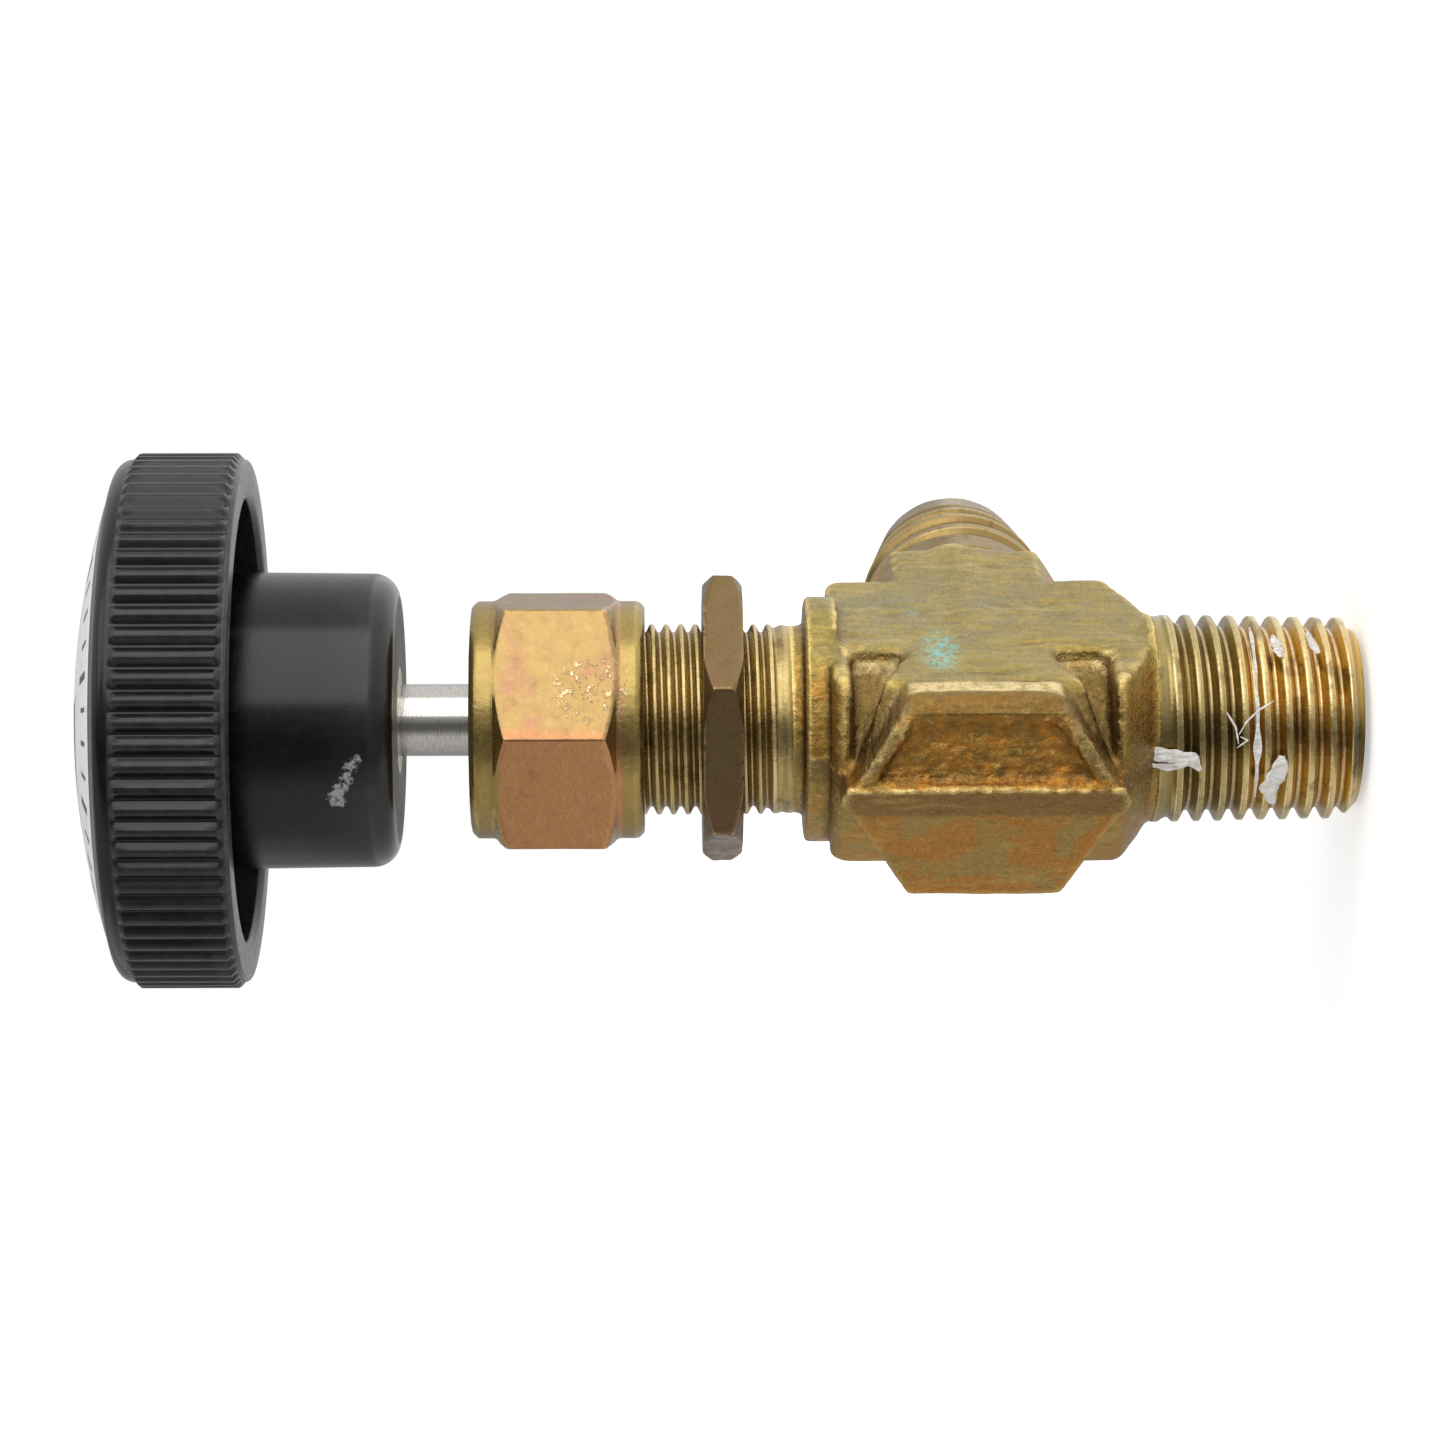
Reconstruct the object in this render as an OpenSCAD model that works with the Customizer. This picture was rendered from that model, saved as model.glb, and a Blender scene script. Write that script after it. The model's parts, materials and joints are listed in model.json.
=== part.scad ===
// Angle-pattern needle valve for flow control, panel mounted.
// The inlet stub stands on Z = 0, the stem runs up +Z to the knob, and the outlet stub points along +X.
// The body is one forging, whose two dies met on the plane Y = 0.

/* [Ports] */
// Height of the outlet's axis above the end of the inlet
outlet_z = 25.4; // [25:0.1:26]
// Reach of the outlet's end from the stem's axis
outlet_reach = 27.7; // [27:0.1:28.5]
// Mean outside diameter of the inlet's tapered pipe thread
pipe_d = 13.5; // [13.3:0.05:13.6]
// Mean outside diameter of the outlet's thread
outlet_d = 13.2; // [13:0.05:13.4]
// Diameter of the outlet's nose at its end
outlet_nose_d = 10.3; // [10:0.1:10.6]
// Bore drilled in from the end of the inlet
inlet_bore_d = 7.1; // [6.4:0.1:7.4]
// Bore drilled in from the end of the outlet
outlet_bore_d = 6; // [5.6:0.1:6.4]
// Orifice that the needle closes
orifice_d = 4.4; // [4:0.1:4.6]

/* [Body forging] */
// Distance across the two wrench flats
flat_af = 13.2; // [13:0.05:13.4]
// Diameter of the barrel between the flats
barrel_d = 21.4; // [21:0.1:22]
// Height at which the barrel starts
barrel_z = 16.4; // [16.2:0.1:16.6]
// Height at which the barrel ends
barrel_top_z = 35.2; // [34.8:0.1:35.4]
// Width of the cross block at the parting plane
block_w = 18.4; // [18:0.1:19]
// Width of each flat of the cross block
block_flat_w = 9.9; // [9:0.1:10.5]
// Reach of the cross block on the side away from the outlet
block_back = 13.4; // [13:0.1:13.6]
// Reach of the cross block on the outlet's side
block_front = 14; // [13.6:0.1:14.4]
// Height that the trimmed flash stands proud along the parting plane
flash_h = 0.15; // [0.1:0.01:0.2]

/* [Bonnet] */
// Diameter of the bonnet thread, which takes the panel nut and the packing nut
bonnet_d = 12.7; // [12.5:0.05:12.8]
// Height of the seat face that lies against a panel
seat_z = 36.8; // [36.6:0.1:37]
// Height of the top of the bonnet, inside the packing nut
bonnet_top_z = 54.2; // [53.8:0.1:54.6]
// Bore of the packing chamber
chamber_d = 8.2; // [8:0.1:8.4]

/* [Nuts] */
// Distance across the flats of the panel nut
panel_nut_af = 17.46; // [17:0.02:17.6]
// Thickness of the panel nut
panel_nut_h = 2.65; // [2.4:0.05:2.8]
// Height of the panel nut's lower face
panel_nut_z = 40.9; // [39:0.1:43]
// Distance across the flats of the packing nut
packing_nut_af = 16; // [15.8:0.02:16.2]
// Height of the packing nut's lower face
packing_nut_z = 47.4; // [47.2:0.1:47.6]
// Length of the packing nut
packing_nut_h = 11.5; // [11.3:0.1:11.7]

/* [Stem] */
// Diameter of the polished shank
stem_d = 4.8; // [4.7:0.02:4.84]
// Major diameter of the stem's thread
stem_thread_d = 6.35; // [6.2:0.05:6.4]
// How far the needle stands above its seat
needle_lift = 2.75; // [2.72:0.01:2.8]

/* [Knob] */
// Diameter of the fluted rim
knob_d = 35.7; // [35:0.1:36.5]
// Height of the hub's lower face
knob_z = 63.75; // [63.5:0.05:64]
// Length of the hub below the rim
hub_h = 10; // [9.6:0.1:10.4]
// Width of the rim
rim_h = 8.55; // [8:0.05:9]
// Diameter of the hub where it meets the web
hub_d = 19.9; // [19.4:0.1:20.2]
// Number of flutes round the rim
flutes = 78; // [72:1:84]

/* [Hidden] */
$fn = 96;
eps = 0.01;
run_gap = 0.05;             // radial gap where one piece turns or slides in another

flat_y = flat_af / 2;
barrel_r = barrel_d / 2;
pipe_r = pipe_d / 2;
pipe_chamfer = 0.8;
pipe_thread_h = 13.5;       // from the end of the inlet to the neck
neck_r = pipe_r + 0.2;
outlet_r = outlet_d / 2;
outlet_nose_r = outlet_nose_d / 2;
outlet_thread_x = 20.2;     // where the thread gives way to the tapered nose
collar_r = 8.2;
bonnet_r = bonnet_d / 2;
inlet_bore_r = inlet_bore_d / 2;
outlet_bore_r = outlet_bore_d / 2;
orifice_r = orifice_d / 2;
bonnet_relief_r = bonnet_r - 0.1;

orifice_z = outlet_z - 7;   // lower end of the orifice
seat_ring_z = outlet_z - 5.1; // edge that the needle seals on
valve_chamber_r = 3.7;
stem_bore_z = outlet_z + 4.1;
washer_z = outlet_z + 14.1;
washer_h = 1;
lower_packing_h = 3.4;
upper_packing_h = 3.6;
cone_h = 1;                 // height of the packing rings' V faces
gland_z = washer_z + washer_h + lower_packing_h + upper_packing_h;
nut_wall = 2;
gland_top_z = packing_nut_z + packing_nut_h - nut_wall;
stem_r = stem_d / 2;
thread_r = stem_thread_d / 2;

ledge_x = -3.5;             // where the full width of the wrench flat ends
lip_x = -12.1;              // edge of the flat's tongue, where the end face starts to lean out
band_y = 0.8;               // half the width of the flash band
rib_slope = 31;
rib_run = 11.5;             // length of a rib down its slope
rib_from = 4.8;             // distance of a rib's upper end from the outlet's axis, along the stem
rib_to = 9.3;               // and of its lower end
pocket_depth = 1;

needle_half_angle = 22.5;
needle_r = 2.75;
needle_nose_r = 0.6;
needle_contact_z = seat_ring_z + needle_lift;
stem_foot_z = outlet_z + 0.7;
stem_thread_z = outlet_z + 4;
stem_thread_top_z = washer_z - 1.9;

rim_r = knob_d / 2;
hub_r = hub_d / 2;
rim_z = knob_z + hub_h;
rim_top_z = rim_z + rim_h;
web_z = rim_z + 5.2;        // floor of the hollow behind the rim
rim_wall = 3.05;
ridge_h = 0.38;             // the ridges between the flutes stand above the rim's plain bands
band_r = rim_r - ridge_h - 0.03;
rim_front_edge = 1;
dome_h = 2.8;
dome_base_r = band_r - rim_front_edge - 0.05;
dome_sphere_r = (dome_base_r * dome_base_r + dome_h * dome_h) / (2 * dome_h);
label_r = 15.2;
label_t = 0.35;
insert_r = 3.6;
insert_top_z = knob_z + 9.2;
screw_z = knob_z + 4.6;
stem_flat_x = 1.9;          // the set screw bears on this flat of the stem

// A quarter-round corner in a profile, as [radius, height] points round the centre c
function corner(c, r, from, to, n = 6) =
    [for (i = [0:n]) let (a = from + (to - from) * i / n) c + r * [cos(a), sin(a)]];

module on_outlet() translate([0, 0, outlet_z]) rotate([0, 90, 0]) children();

// ---- valve body ----

// The round parts of the body along the stem's axis, above and below the barrel
module body_turning() rotate_extrude() polygon([
    [0, 0], [pipe_r - pipe_chamfer, 0], [pipe_r, pipe_chamfer], [pipe_r, pipe_thread_h],
    [neck_r, pipe_thread_h + 0.2], [neck_r, barrel_z - 2.4], [flat_y, barrel_z - 2],
    [flat_y, barrel_top_z - 0.5], [collar_r, barrel_top_z - 0.5], [collar_r, seat_z],
    [bonnet_relief_r, seat_z], [bonnet_relief_r, seat_z + 2], [bonnet_r, seat_z + 2.2],
    [bonnet_r, bonnet_top_z - 0.6], [bonnet_r - 0.6, bonnet_top_z], [0, bonnet_top_z]]);

// The barrel with its rounded ends, before the flats are cut
module barrel(grow = 0) {
    lower_edge = 1;
    upper_edge = 1.2;
    shoulder_z = barrel_z - 2.4;
    r = barrel_r + grow;
    rotate_extrude() polygon(concat(
        [[0, shoulder_z], [neck_r, shoulder_z]],
        corner([r - lower_edge, barrel_z + 0.4], lower_edge, -50, 0, 4),
        corner([r - upper_edge, barrel_top_z - upper_edge], upper_edge, 0, 90),
        [[0, barrel_top_z]]));
}

// Cross-section of the block along the outlet, a hexagon drawn out along the parting plane
module block_section(grow = 0) {
    half = block_w / 2 + grow;
    flat = block_flat_w / 2;
    polygon([[-flat, -flat_y], [flat, -flat_y], [half, 0], [flat, flat_y], [-flat, flat_y], [-half, 0]]);
}

// Places a section drawn as [distance down the stem's axis, Y] at x and draws it out along +X
module along_x(x, length) translate([x, 0, outlet_z]) rotate([0, 90, 0]) linear_extrude(length) children();

module block(grow = 0) along_x(-block_back, block_back + block_front) block_section(grow);

module flats() translate([-50, -flat_y, 0]) cube([100, flat_af, 100]);

module outlet_stub() on_outlet() rotate_extrude() polygon([[0, 0], [outlet_r + 0.2, 0],
    [outlet_r + 0.2, block_front + 0.6], [outlet_r, block_front + 0.8], [outlet_r, outlet_thread_x],
    [outlet_nose_r, outlet_reach - 0.15], [outlet_nose_r - 0.15, outlet_reach], [0, outlet_reach]]);

// The narrow band of trimmed flash where the dies met
module flash_band() {
    intersection() {
        union() { barrel(flash_h); block(2 * flash_h); }
        translate([-block_back, -band_y, 0]) cube([block_back + block_front, 2 * band_y, 60]);
    }
}

// The ribs leave the wrench flat at the ledge and run down and outward to the parting plane, within a plane
// at rib_slope to the flat. This places [run down the slope, distance along the stem's axis] in that plane.
module on_rib_slope(depth, height) translate([ledge_x, -flat_y, outlet_z]) rotate([90, 180, -rib_slope])
    translate([0, 0, -depth]) linear_extrude(height) children();

// On one side of the flat: the barrel cut back to the block along the rib, and the pocket outside the rib
module rib_cuts() {
    pocket_end = 8.5;
    pocket_run = rib_run * (pocket_end - rib_from) / (rib_to - rib_from);
    difference() {
        on_rib_slope(3, 12) polygon([[0, rib_from], [rib_run, rib_to], [rib_run, rib_from]]);
        block();
    }
    on_rib_slope(pocket_depth, 12) polygon([[0, rib_from], [0, pocket_end], [pocket_run, pocket_end]]);
}

// The end face above the parting plane, which leans back from the flash to the tongue's edge
module leaning_face() translate([0, 0, outlet_z - 15]) linear_extrude(30)
    polygon([[-block_back, -band_y], [lip_x, -flat_y], [lip_x, -flat_y - 3], [-block_back - 9, -flat_y - 3],
             [-block_back - 9, -band_y]]);

// The sunk panel in that face, between the ribs
module sunk_panel() {
    depth = 0.7;
    lean = atan((block_back + lip_x) / (flat_y - band_y));
    panel_gap = 0.45;       // from the flash band up to the panel
    panel_rise = flat_y - band_y - 1.3;
    panel_low = 7.3;        // half widths along the stem's axis, at the flash and at the top
    panel_high = 4.5;
    translate([-block_back, -band_y, outlet_z]) rotate([0, 0, lean]) translate([depth, 0, 0])
        rotate([90, 90, -90]) linear_extrude(4)
        polygon([[-panel_low, panel_gap], [-panel_high, panel_rise], [panel_high, panel_rise],
                 [panel_low, panel_gap]]);
}

module body_bores() {
    translate([0, 0, -eps]) cylinder(r = inlet_bore_r, h = orifice_z - 1.2 + eps);
    translate([0, 0, orifice_z - 1.2 - eps]) cylinder(r1 = inlet_bore_r, r2 = orifice_r, h = 1.2 + eps);
    translate([0, 0, orifice_z - eps]) cylinder(r = orifice_r, h = seat_ring_z - orifice_z + 2 * eps);
    translate([0, 0, seat_ring_z])
        cylinder(r1 = orifice_r, r2 = valve_chamber_r, h = valve_chamber_r - orifice_r);
    translate([0, 0, seat_ring_z + valve_chamber_r - orifice_r - eps])
        cylinder(r = valve_chamber_r, h = stem_bore_z - seat_ring_z - valve_chamber_r + orifice_r + eps);
    translate([0, 0, stem_bore_z - eps])
        cylinder(r = thread_r + run_gap, h = washer_z - stem_bore_z + 2 * eps);
    translate([0, 0, washer_z]) cylinder(d = chamber_d, h = 40);
    on_outlet() cylinder(r = outlet_bore_r, h = 40);
}

module valve_body() {
    color("#a5894a") difference() {
        union() {
            body_turning();
            intersection() {
                union() { barrel(); block(); }
                flats();
            }
            flash_band();
            outlet_stub();
        }
        for (side = [0, 1]) translate([0, 0, side * outlet_z * 2]) mirror([0, 0, side]) rib_cuts();
        leaning_face();
        sunk_panel();
        body_bores();
    }
}

// ---- nuts ----

// A hexagon with its corners taken off at both faces by a cone; vertex_angle turns the first corner from +X
module hexagon_nut(af, h, bevel_r, vertex_angle) {
    corner_r = af / sqrt(3);
    rise = (corner_r - bevel_r) * tan(30);
    rotate([0, 0, vertex_angle]) intersection() {
        cylinder(r = corner_r, h = h, $fn = 6);
        rotate_extrude() polygon([[0, 0], [bevel_r, 0], [corner_r + eps, rise], [corner_r + eps, h - rise],
                                  [bevel_r, h], [0, h]]);
    }
}

module panel_nut() {
    thread_chamfer = 0.5;
    color("#8b7348") translate([0, 0, panel_nut_z]) difference() {
        hexagon_nut(panel_nut_af, panel_nut_h, panel_nut_af / 2 + 0.2, 215.5);
        translate([0, 0, -1]) cylinder(r = bonnet_r + run_gap, h = panel_nut_h + 2);
        for (face = [0, 1]) translate([0, 0, face * panel_nut_h]) mirror([0, 0, face])
            translate([0, 0, -eps])
                cylinder(r1 = bonnet_r + run_gap + thread_chamfer, r2 = bonnet_r + run_gap, h = thread_chamfer);
    }
}

module packing_nut() {
    lower_collar_h = 1.85;
    upper_collar_h = 1.65;
    collar = 7.93;
    collar_edge = 0.4;
    hole_r = stem_r + 0.2;
    color("#b8944a") translate([0, 0, packing_nut_z]) difference() {
        union() {
            translate([0, 0, lower_collar_h])
                hexagon_nut(packing_nut_af, packing_nut_h - lower_collar_h - upper_collar_h,
                            packing_nut_af / 2, 195.7);
            rotate_extrude() polygon([[0, 0], [collar - collar_edge, 0], [collar, collar_edge],
                [collar, packing_nut_h - collar_edge], [collar - collar_edge, packing_nut_h],
                [0, packing_nut_h]]);
        }
        translate([0, 0, -1]) cylinder(r = bonnet_r + run_gap, h = packing_nut_h - nut_wall + 1);
        cylinder(r1 = bonnet_r + 0.5, r2 = bonnet_r, h = 0.5);
        cylinder(r = hole_r, h = packing_nut_h + 1);
        translate([0, 0, packing_nut_h - 0.4]) cylinder(r1 = hole_r, r2 = hole_r + 0.5, h = 0.5);
    }
}

// ---- packing ----

module ring(inner, outer, h) difference() {
    cylinder(r = outer, h = h);
    translate([0, 0, -1]) cylinder(r = inner, h = h + 2);
}

module packing_washer()
    color("#c9c7c1") translate([0, 0, washer_z]) ring(stem_r + 0.1, chamber_d / 2 - run_gap, washer_h);

// Lower packing ring, hollowed to a V on top
module lower_packing() {
    in = stem_r + run_gap;
    out = chamber_d / 2 - 0.02;
    color("#f2f1ec") translate([0, 0, washer_z + washer_h]) rotate_extrude()
        polygon([[in, 0], [out, 0], [out, lower_packing_h], [(in + out) / 2, lower_packing_h - cone_h],
                 [in, lower_packing_h]]);
}

// Upper packing ring, whose V points down into the lower one
module upper_packing() {
    in = stem_r + run_gap;
    out = chamber_d / 2 - 0.02;
    color("#f2f1ec") translate([0, 0, washer_z + washer_h + lower_packing_h]) rotate_extrude()
        polygon([[in, 0], [(in + out) / 2, -cone_h], [out, 0], [out, upper_packing_h],
                 [in, upper_packing_h]]);
}

// Follower that carries the packing nut's thrust down to the packing
module gland() {
    flange_h = 1.4;
    flange_r = 5.6;
    sleeve_r = chamber_d / 2 - run_gap;
    in = stem_r + 0.1;
    color("#b8944a") rotate_extrude() polygon([[in, gland_z], [sleeve_r, gland_z],
        [sleeve_r, gland_top_z - flange_h], [flange_r, gland_top_z - flange_h], [flange_r, gland_top_z],
        [in, gland_top_z]]);
}

// ---- stem ----

// Needle with a button head, which the stem's foot holds so that the needle need not turn on its seat
module needle_tip() {
    cone_top_z = needle_contact_z + (needle_r - orifice_r) / tan(needle_half_angle);
    nose_z = needle_contact_z - (orifice_r - needle_nose_r) / tan(needle_half_angle);
    color("#c9c7c1") rotate_extrude() polygon([[0, nose_z - 0.3], [needle_nose_r - 0.3, nose_z - 0.3],
        [needle_nose_r, nose_z], [needle_r, cone_top_z], [needle_r, stem_foot_z - run_gap],
        [1.1, stem_foot_z - run_gap], [1.1, stem_foot_z + 0.95], [1.6, stem_foot_z + 0.95],
        [1.6, stem_foot_z + 2.3], [0, stem_foot_z + 2.3]]);
}

module stem() {
    top_z = knob_z + 8.4;
    foot_r = 2.9;
    color("#d6d3cc") difference() {
        rotate_extrude() polygon([[0, stem_foot_z], [foot_r - 0.3, stem_foot_z], [foot_r, stem_foot_z + 0.3],
            [foot_r, stem_thread_z - 0.3], [thread_r, stem_thread_z], [thread_r, stem_thread_top_z - 0.5],
            [thread_r - 0.5, stem_thread_top_z], [stem_r, stem_thread_top_z], [stem_r, top_z - 0.4],
            [stem_r - 0.4, top_z], [0, top_z]]);
        translate([0, 0, stem_foot_z - 1]) cylinder(r = 1.1 + run_gap, h = 2);
        translate([0, 0, stem_foot_z + 0.9]) cylinder(r = 1.6 + run_gap, h = 1.5);
        translate([stem_flat_x, -5, screw_z - 1.7]) cube([5, 10, 3.4]);
    }
}

// ---- knob ----

module knob_turning() {
    edge = 1.7;
    hub_end_r = hub_r - 0.15;
    rim_in_r = rim_r - rim_wall;
    rear_edge = 0.25;
    rear_band = 0.3;        // widths of the plain bands behind and in front of the ridges
    front_band = 1.1;
    ridge_run = 0.4;        // length of the slope at each end of a ridge
    rotate_extrude() polygon(concat(
        [[insert_r, knob_z]],
        corner([hub_end_r - edge, knob_z + edge], edge, -90, 0),
        [[hub_r, web_z - 0.6], [hub_r + 0.6, web_z], [rim_in_r - 0.8, web_z], [rim_in_r, web_z - 0.8],
         [rim_in_r, rim_z + 0.3], [rim_in_r + 0.3, rim_z]],
        corner([band_r - rear_edge, rim_z + rear_edge], rear_edge, -90, 0, 4),
        [[band_r, rim_z + rear_band], [rim_r, rim_z + rear_band + ridge_run],
         [rim_r, rim_top_z - front_band - ridge_run], [band_r, rim_top_z - front_band]],
        corner([band_r - rim_front_edge, rim_top_z - rim_front_edge], rim_front_edge, 0, 90, 6),
        [for (i = [0:8]) let (r = dome_base_r * (8 - i) / 8) [max(r, 0), dome_z(r)]],
        [[0, insert_top_z + 0.4], [insert_r, insert_top_z + 0.4]]));
}

// Height of the domed face at radius r
function dome_z(r) = rim_top_z + dome_h - dome_sphere_r + sqrt(dome_sphere_r * dome_sphere_r - r * r);

// Straight V-shaped flutes with narrow flat floors, which leave the ridges between them
module flute_cuts() {
    floor_w = 0.14;         // half the floor's width
    over = 0.25;            // how far the cut stands out beyond the ridges
    for (i = [0:flutes - 1]) rotate([0, 0, i * 360 / flutes]) translate([rim_r - ridge_h, 0, rim_z])
        linear_extrude(rim_h - 0.5) polygon([[0, -floor_w], [ridge_h + over, -floor_w - ridge_h - over],
                                             [ridge_h + over, floor_w + ridge_h + over], [0, floor_w]]);
}

module knob() {
    color("#232325") difference() {
        knob_turning();
        flute_cuts();
        translate([0, 0, rim_top_z + dome_h - 10]) difference() {
            cylinder(r = label_r, h = 11);
            translate([0, 0, 10 - dome_sphere_r]) sphere(r = dome_sphere_r - label_t, $fn = 128);
        }
        translate([1, 0, screw_z]) rotate([0, 90, 0]) cylinder(r = 1.65, h = hub_r);
    }
}

module knob_insert() {
    color("#b8944a") difference() {
        translate([0, 0, knob_z]) cylinder(r = insert_r, h = insert_top_z + 0.4 - knob_z);
        translate([0, 0, knob_z - 1]) cylinder(r = stem_r + 0.02, h = 20);
        translate([0, 0, screw_z]) rotate([0, 90, 0]) cylinder(r = 1.5, h = hub_r);
    }
}

// Grub screw with a hexagon socket, seated on the stem's flat
module knob_set_screw() {
    length = 5.2;
    color("#4a4a4c") translate([stem_flat_x + length, 0, screw_z]) rotate([0, -90, 0]) difference() {
        rotate_extrude() polygon([[0, 0], [1.2, 0], [1.45, 0.25], [1.45, length - 0.5], [1, length],
                                  [0, length]]);
        translate([0, 0, -1]) cylinder(r = 0.92, h = 2.6, $fn = 6);
    }
}

// Domed disc let into the face of the knob
module knob_label() {
    gap = 0.05;
    color("#e9e8e4") intersection() {
        translate([0, 0, rim_top_z + dome_h - dome_sphere_r]) difference() {
            sphere(r = dome_sphere_r, $fn = 128);
            sphere(r = dome_sphere_r - label_t, $fn = 128);
        }
        translate([0, 0, rim_top_z - 2]) cylinder(r = label_r - gap, h = 10);
    }
}

valve_body();
panel_nut();
packing_nut();
packing_washer();
lower_packing();
upper_packing();
gland();
needle_tip();
stem();
knob();
knob_insert();
knob_set_screw();
knob_label();
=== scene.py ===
import contextlib
import json
import math
import random

import bmesh
import bpy
import numpy as np
from mathutils import Matrix, Vector, noise


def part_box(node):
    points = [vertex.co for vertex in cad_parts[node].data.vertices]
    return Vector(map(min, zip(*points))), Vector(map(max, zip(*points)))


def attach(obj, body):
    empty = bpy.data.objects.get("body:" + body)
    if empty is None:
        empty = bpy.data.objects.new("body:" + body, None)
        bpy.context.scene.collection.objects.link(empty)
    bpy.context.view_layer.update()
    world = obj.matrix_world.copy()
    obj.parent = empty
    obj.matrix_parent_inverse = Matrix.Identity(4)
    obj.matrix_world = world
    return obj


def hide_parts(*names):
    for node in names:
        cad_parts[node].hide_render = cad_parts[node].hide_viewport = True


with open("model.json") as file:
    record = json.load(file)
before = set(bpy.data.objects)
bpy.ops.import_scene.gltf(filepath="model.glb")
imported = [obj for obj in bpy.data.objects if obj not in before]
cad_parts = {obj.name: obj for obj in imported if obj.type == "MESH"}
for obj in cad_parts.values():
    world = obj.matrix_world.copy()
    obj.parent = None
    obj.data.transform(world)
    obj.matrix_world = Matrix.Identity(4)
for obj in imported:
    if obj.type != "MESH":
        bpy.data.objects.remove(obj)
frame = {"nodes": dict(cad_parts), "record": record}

MM = 0.001
TURN = 2 * math.pi
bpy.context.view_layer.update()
nodes = frame["nodes"]


def node_box(name):
    """A CAD node's box in millimetres, as two arrays."""
    lo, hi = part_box(name)
    return np.array(lo) / MM, np.array(hi) / MM


# ---- where things are, in millimetres: first what the CAD says ----

mounts = {m["name"]: m for m in frame["record"]["mounts"]}
OUTLET_Z = mounts["outlet"]["pos_m"][2] / MM
SEAT_Z = mounts["panel_seat"]["pos_m"][2] / MM
INLET_R = mounts["inlet"]["dims"]["r_mm"]
OUTLET_R = mounts["outlet"]["dims"]["r_mm"]
OUTLET_END_X, _, BONNET_TOP_Z = node_box("valve_body")[1]
KNOB_LO, KNOB_HI = node_box("knob")
STEM_LO, STEM_HI = node_box("stem")
LABEL_TOP_Z = node_box("knob_label")[1][2]

# then the edges of the forging that no box or mount gives
BONNET_R = 6.35
NECK_Z = 13.5       # the inlet's thread meets the forging
FLAT_Y = 6.6        # half the distance across the wrench flats
LIP_X = -12.1       # the near flat's edge over the end face
FLASH_Y = -0.8      # upper edge of the trimmed band round the dies' parting line
# the sunk panel of the end face narrows from the parting plane to the near flat
PANEL_DEPTHS, PANEL_HALF_WIDTHS = (1.2, 6.1), (7.2, 4.6)

# ---- the photograph's camera ----

PHOTO_PX = 1445.0
CAM_DISTANCE = 299.6
CAM_AIM_Z = 42.23
CAM_SCALE = 14.946      # the photograph's pixels in a millimetre at the stem's axis
CAM_TILT = math.radians(0.782)
CAM_PHI = math.radians(24.128)
CAM_ROLL = math.radians(0.158)
AIM_DOWN_PX, AIM_RIGHT_PX = 3.2, 0.5
SENSOR = 36.0

side = np.array([-math.cos(CAM_PHI), -math.sin(CAM_PHI), 0.0])
up = np.array([math.sin(CAM_PHI), -math.cos(CAM_PHI), 0.0])
stem_up = np.array([0, 0, 1.0])
back = side * math.cos(CAM_TILT) + stem_up * math.sin(CAM_TILT)
right = side * math.sin(CAM_TILT) - stem_up * math.cos(CAM_TILT)
SIDE_ANGLE = math.atan2(side[1], side[0])


def point_round_stem(radius, z, alpha):
    """A point on a cylinder round the stem's axis; alpha turns from the near side up over the top."""
    a = SIDE_ANGLE + alpha
    return np.array([radius * math.cos(a), radius * math.sin(a), z])


def new_object(name, data):
    obj = bpy.data.objects.new(name, data)
    bpy.context.scene.collection.objects.link(obj)
    return obj


def make_camera():
    data = bpy.data.cameras.new("camera")
    cam = new_object("camera", data)
    data.sensor_width = SENSOR
    data.lens = CAM_SCALE * CAM_DISTANCE * SENSOR / PHOTO_PX
    data.clip_start, data.clip_end = 0.01, 20
    cr, sr = math.cos(CAM_ROLL), math.sin(CAM_ROLL)
    cam_right = right * cr - up * sr
    cam_up = up * cr + right * sr
    m = Matrix((cam_right, cam_up, back)).transposed().to_4x4()
    aim = np.array([0, 0, CAM_AIM_Z]) - up * AIM_DOWN_PX / CAM_SCALE
    aim = aim + right * AIM_RIGHT_PX / CAM_SCALE
    m.translation = Vector((aim + back * CAM_DISTANCE) * MM)
    cam.matrix_world = m
    bpy.context.scene.camera = cam


make_camera()

# ---- mesh helpers ----


def finish_piece(name, mesh, body, material, replaces=(), smooth=True):
    """Makes a mesh a piece of the given material that rides on the body."""
    if smooth:
        mesh.shade_smooth()
    mesh.materials.clear()
    mesh.materials.append(material)
    obj = new_object(name, mesh)
    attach(obj, body)
    if replaces:
        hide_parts(*replaces)
    return obj


def new_piece(name, verts_mm, faces, body, material, replaces=(), smooth=True, attrs=None):
    mesh = bpy.data.meshes.new(name)
    mesh.from_pydata((np.asarray(verts_mm, float) * MM).tolist(), [], faces)
    mesh.validate()
    mesh.update()
    for key, values in (attrs or {}).items():
        set_attribute(mesh, key, values)
    return finish_piece(name, mesh, body, material, replaces, smooth)


def set_attribute(mesh, key, values):
    attribute = mesh.attributes.new(key, "FLOAT", "POINT")
    attribute.data.foreach_set("value", np.asarray(values, np.float32))


def point_array(mesh, key):
    values = np.empty(len(mesh.vertices) * 3, np.float32)
    mesh.vertices.foreach_get(key, values)
    return values.reshape(-1, 3).astype(float)


def vertex_array(mesh):
    """The vertices in millimetres."""
    return point_array(mesh, "co") / MM


def edge_array(mesh):
    e = np.empty(len(mesh.edges) * 2, np.int32)
    mesh.edges.foreach_get("vertices", e)
    return e.reshape(-1, 2)


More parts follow.
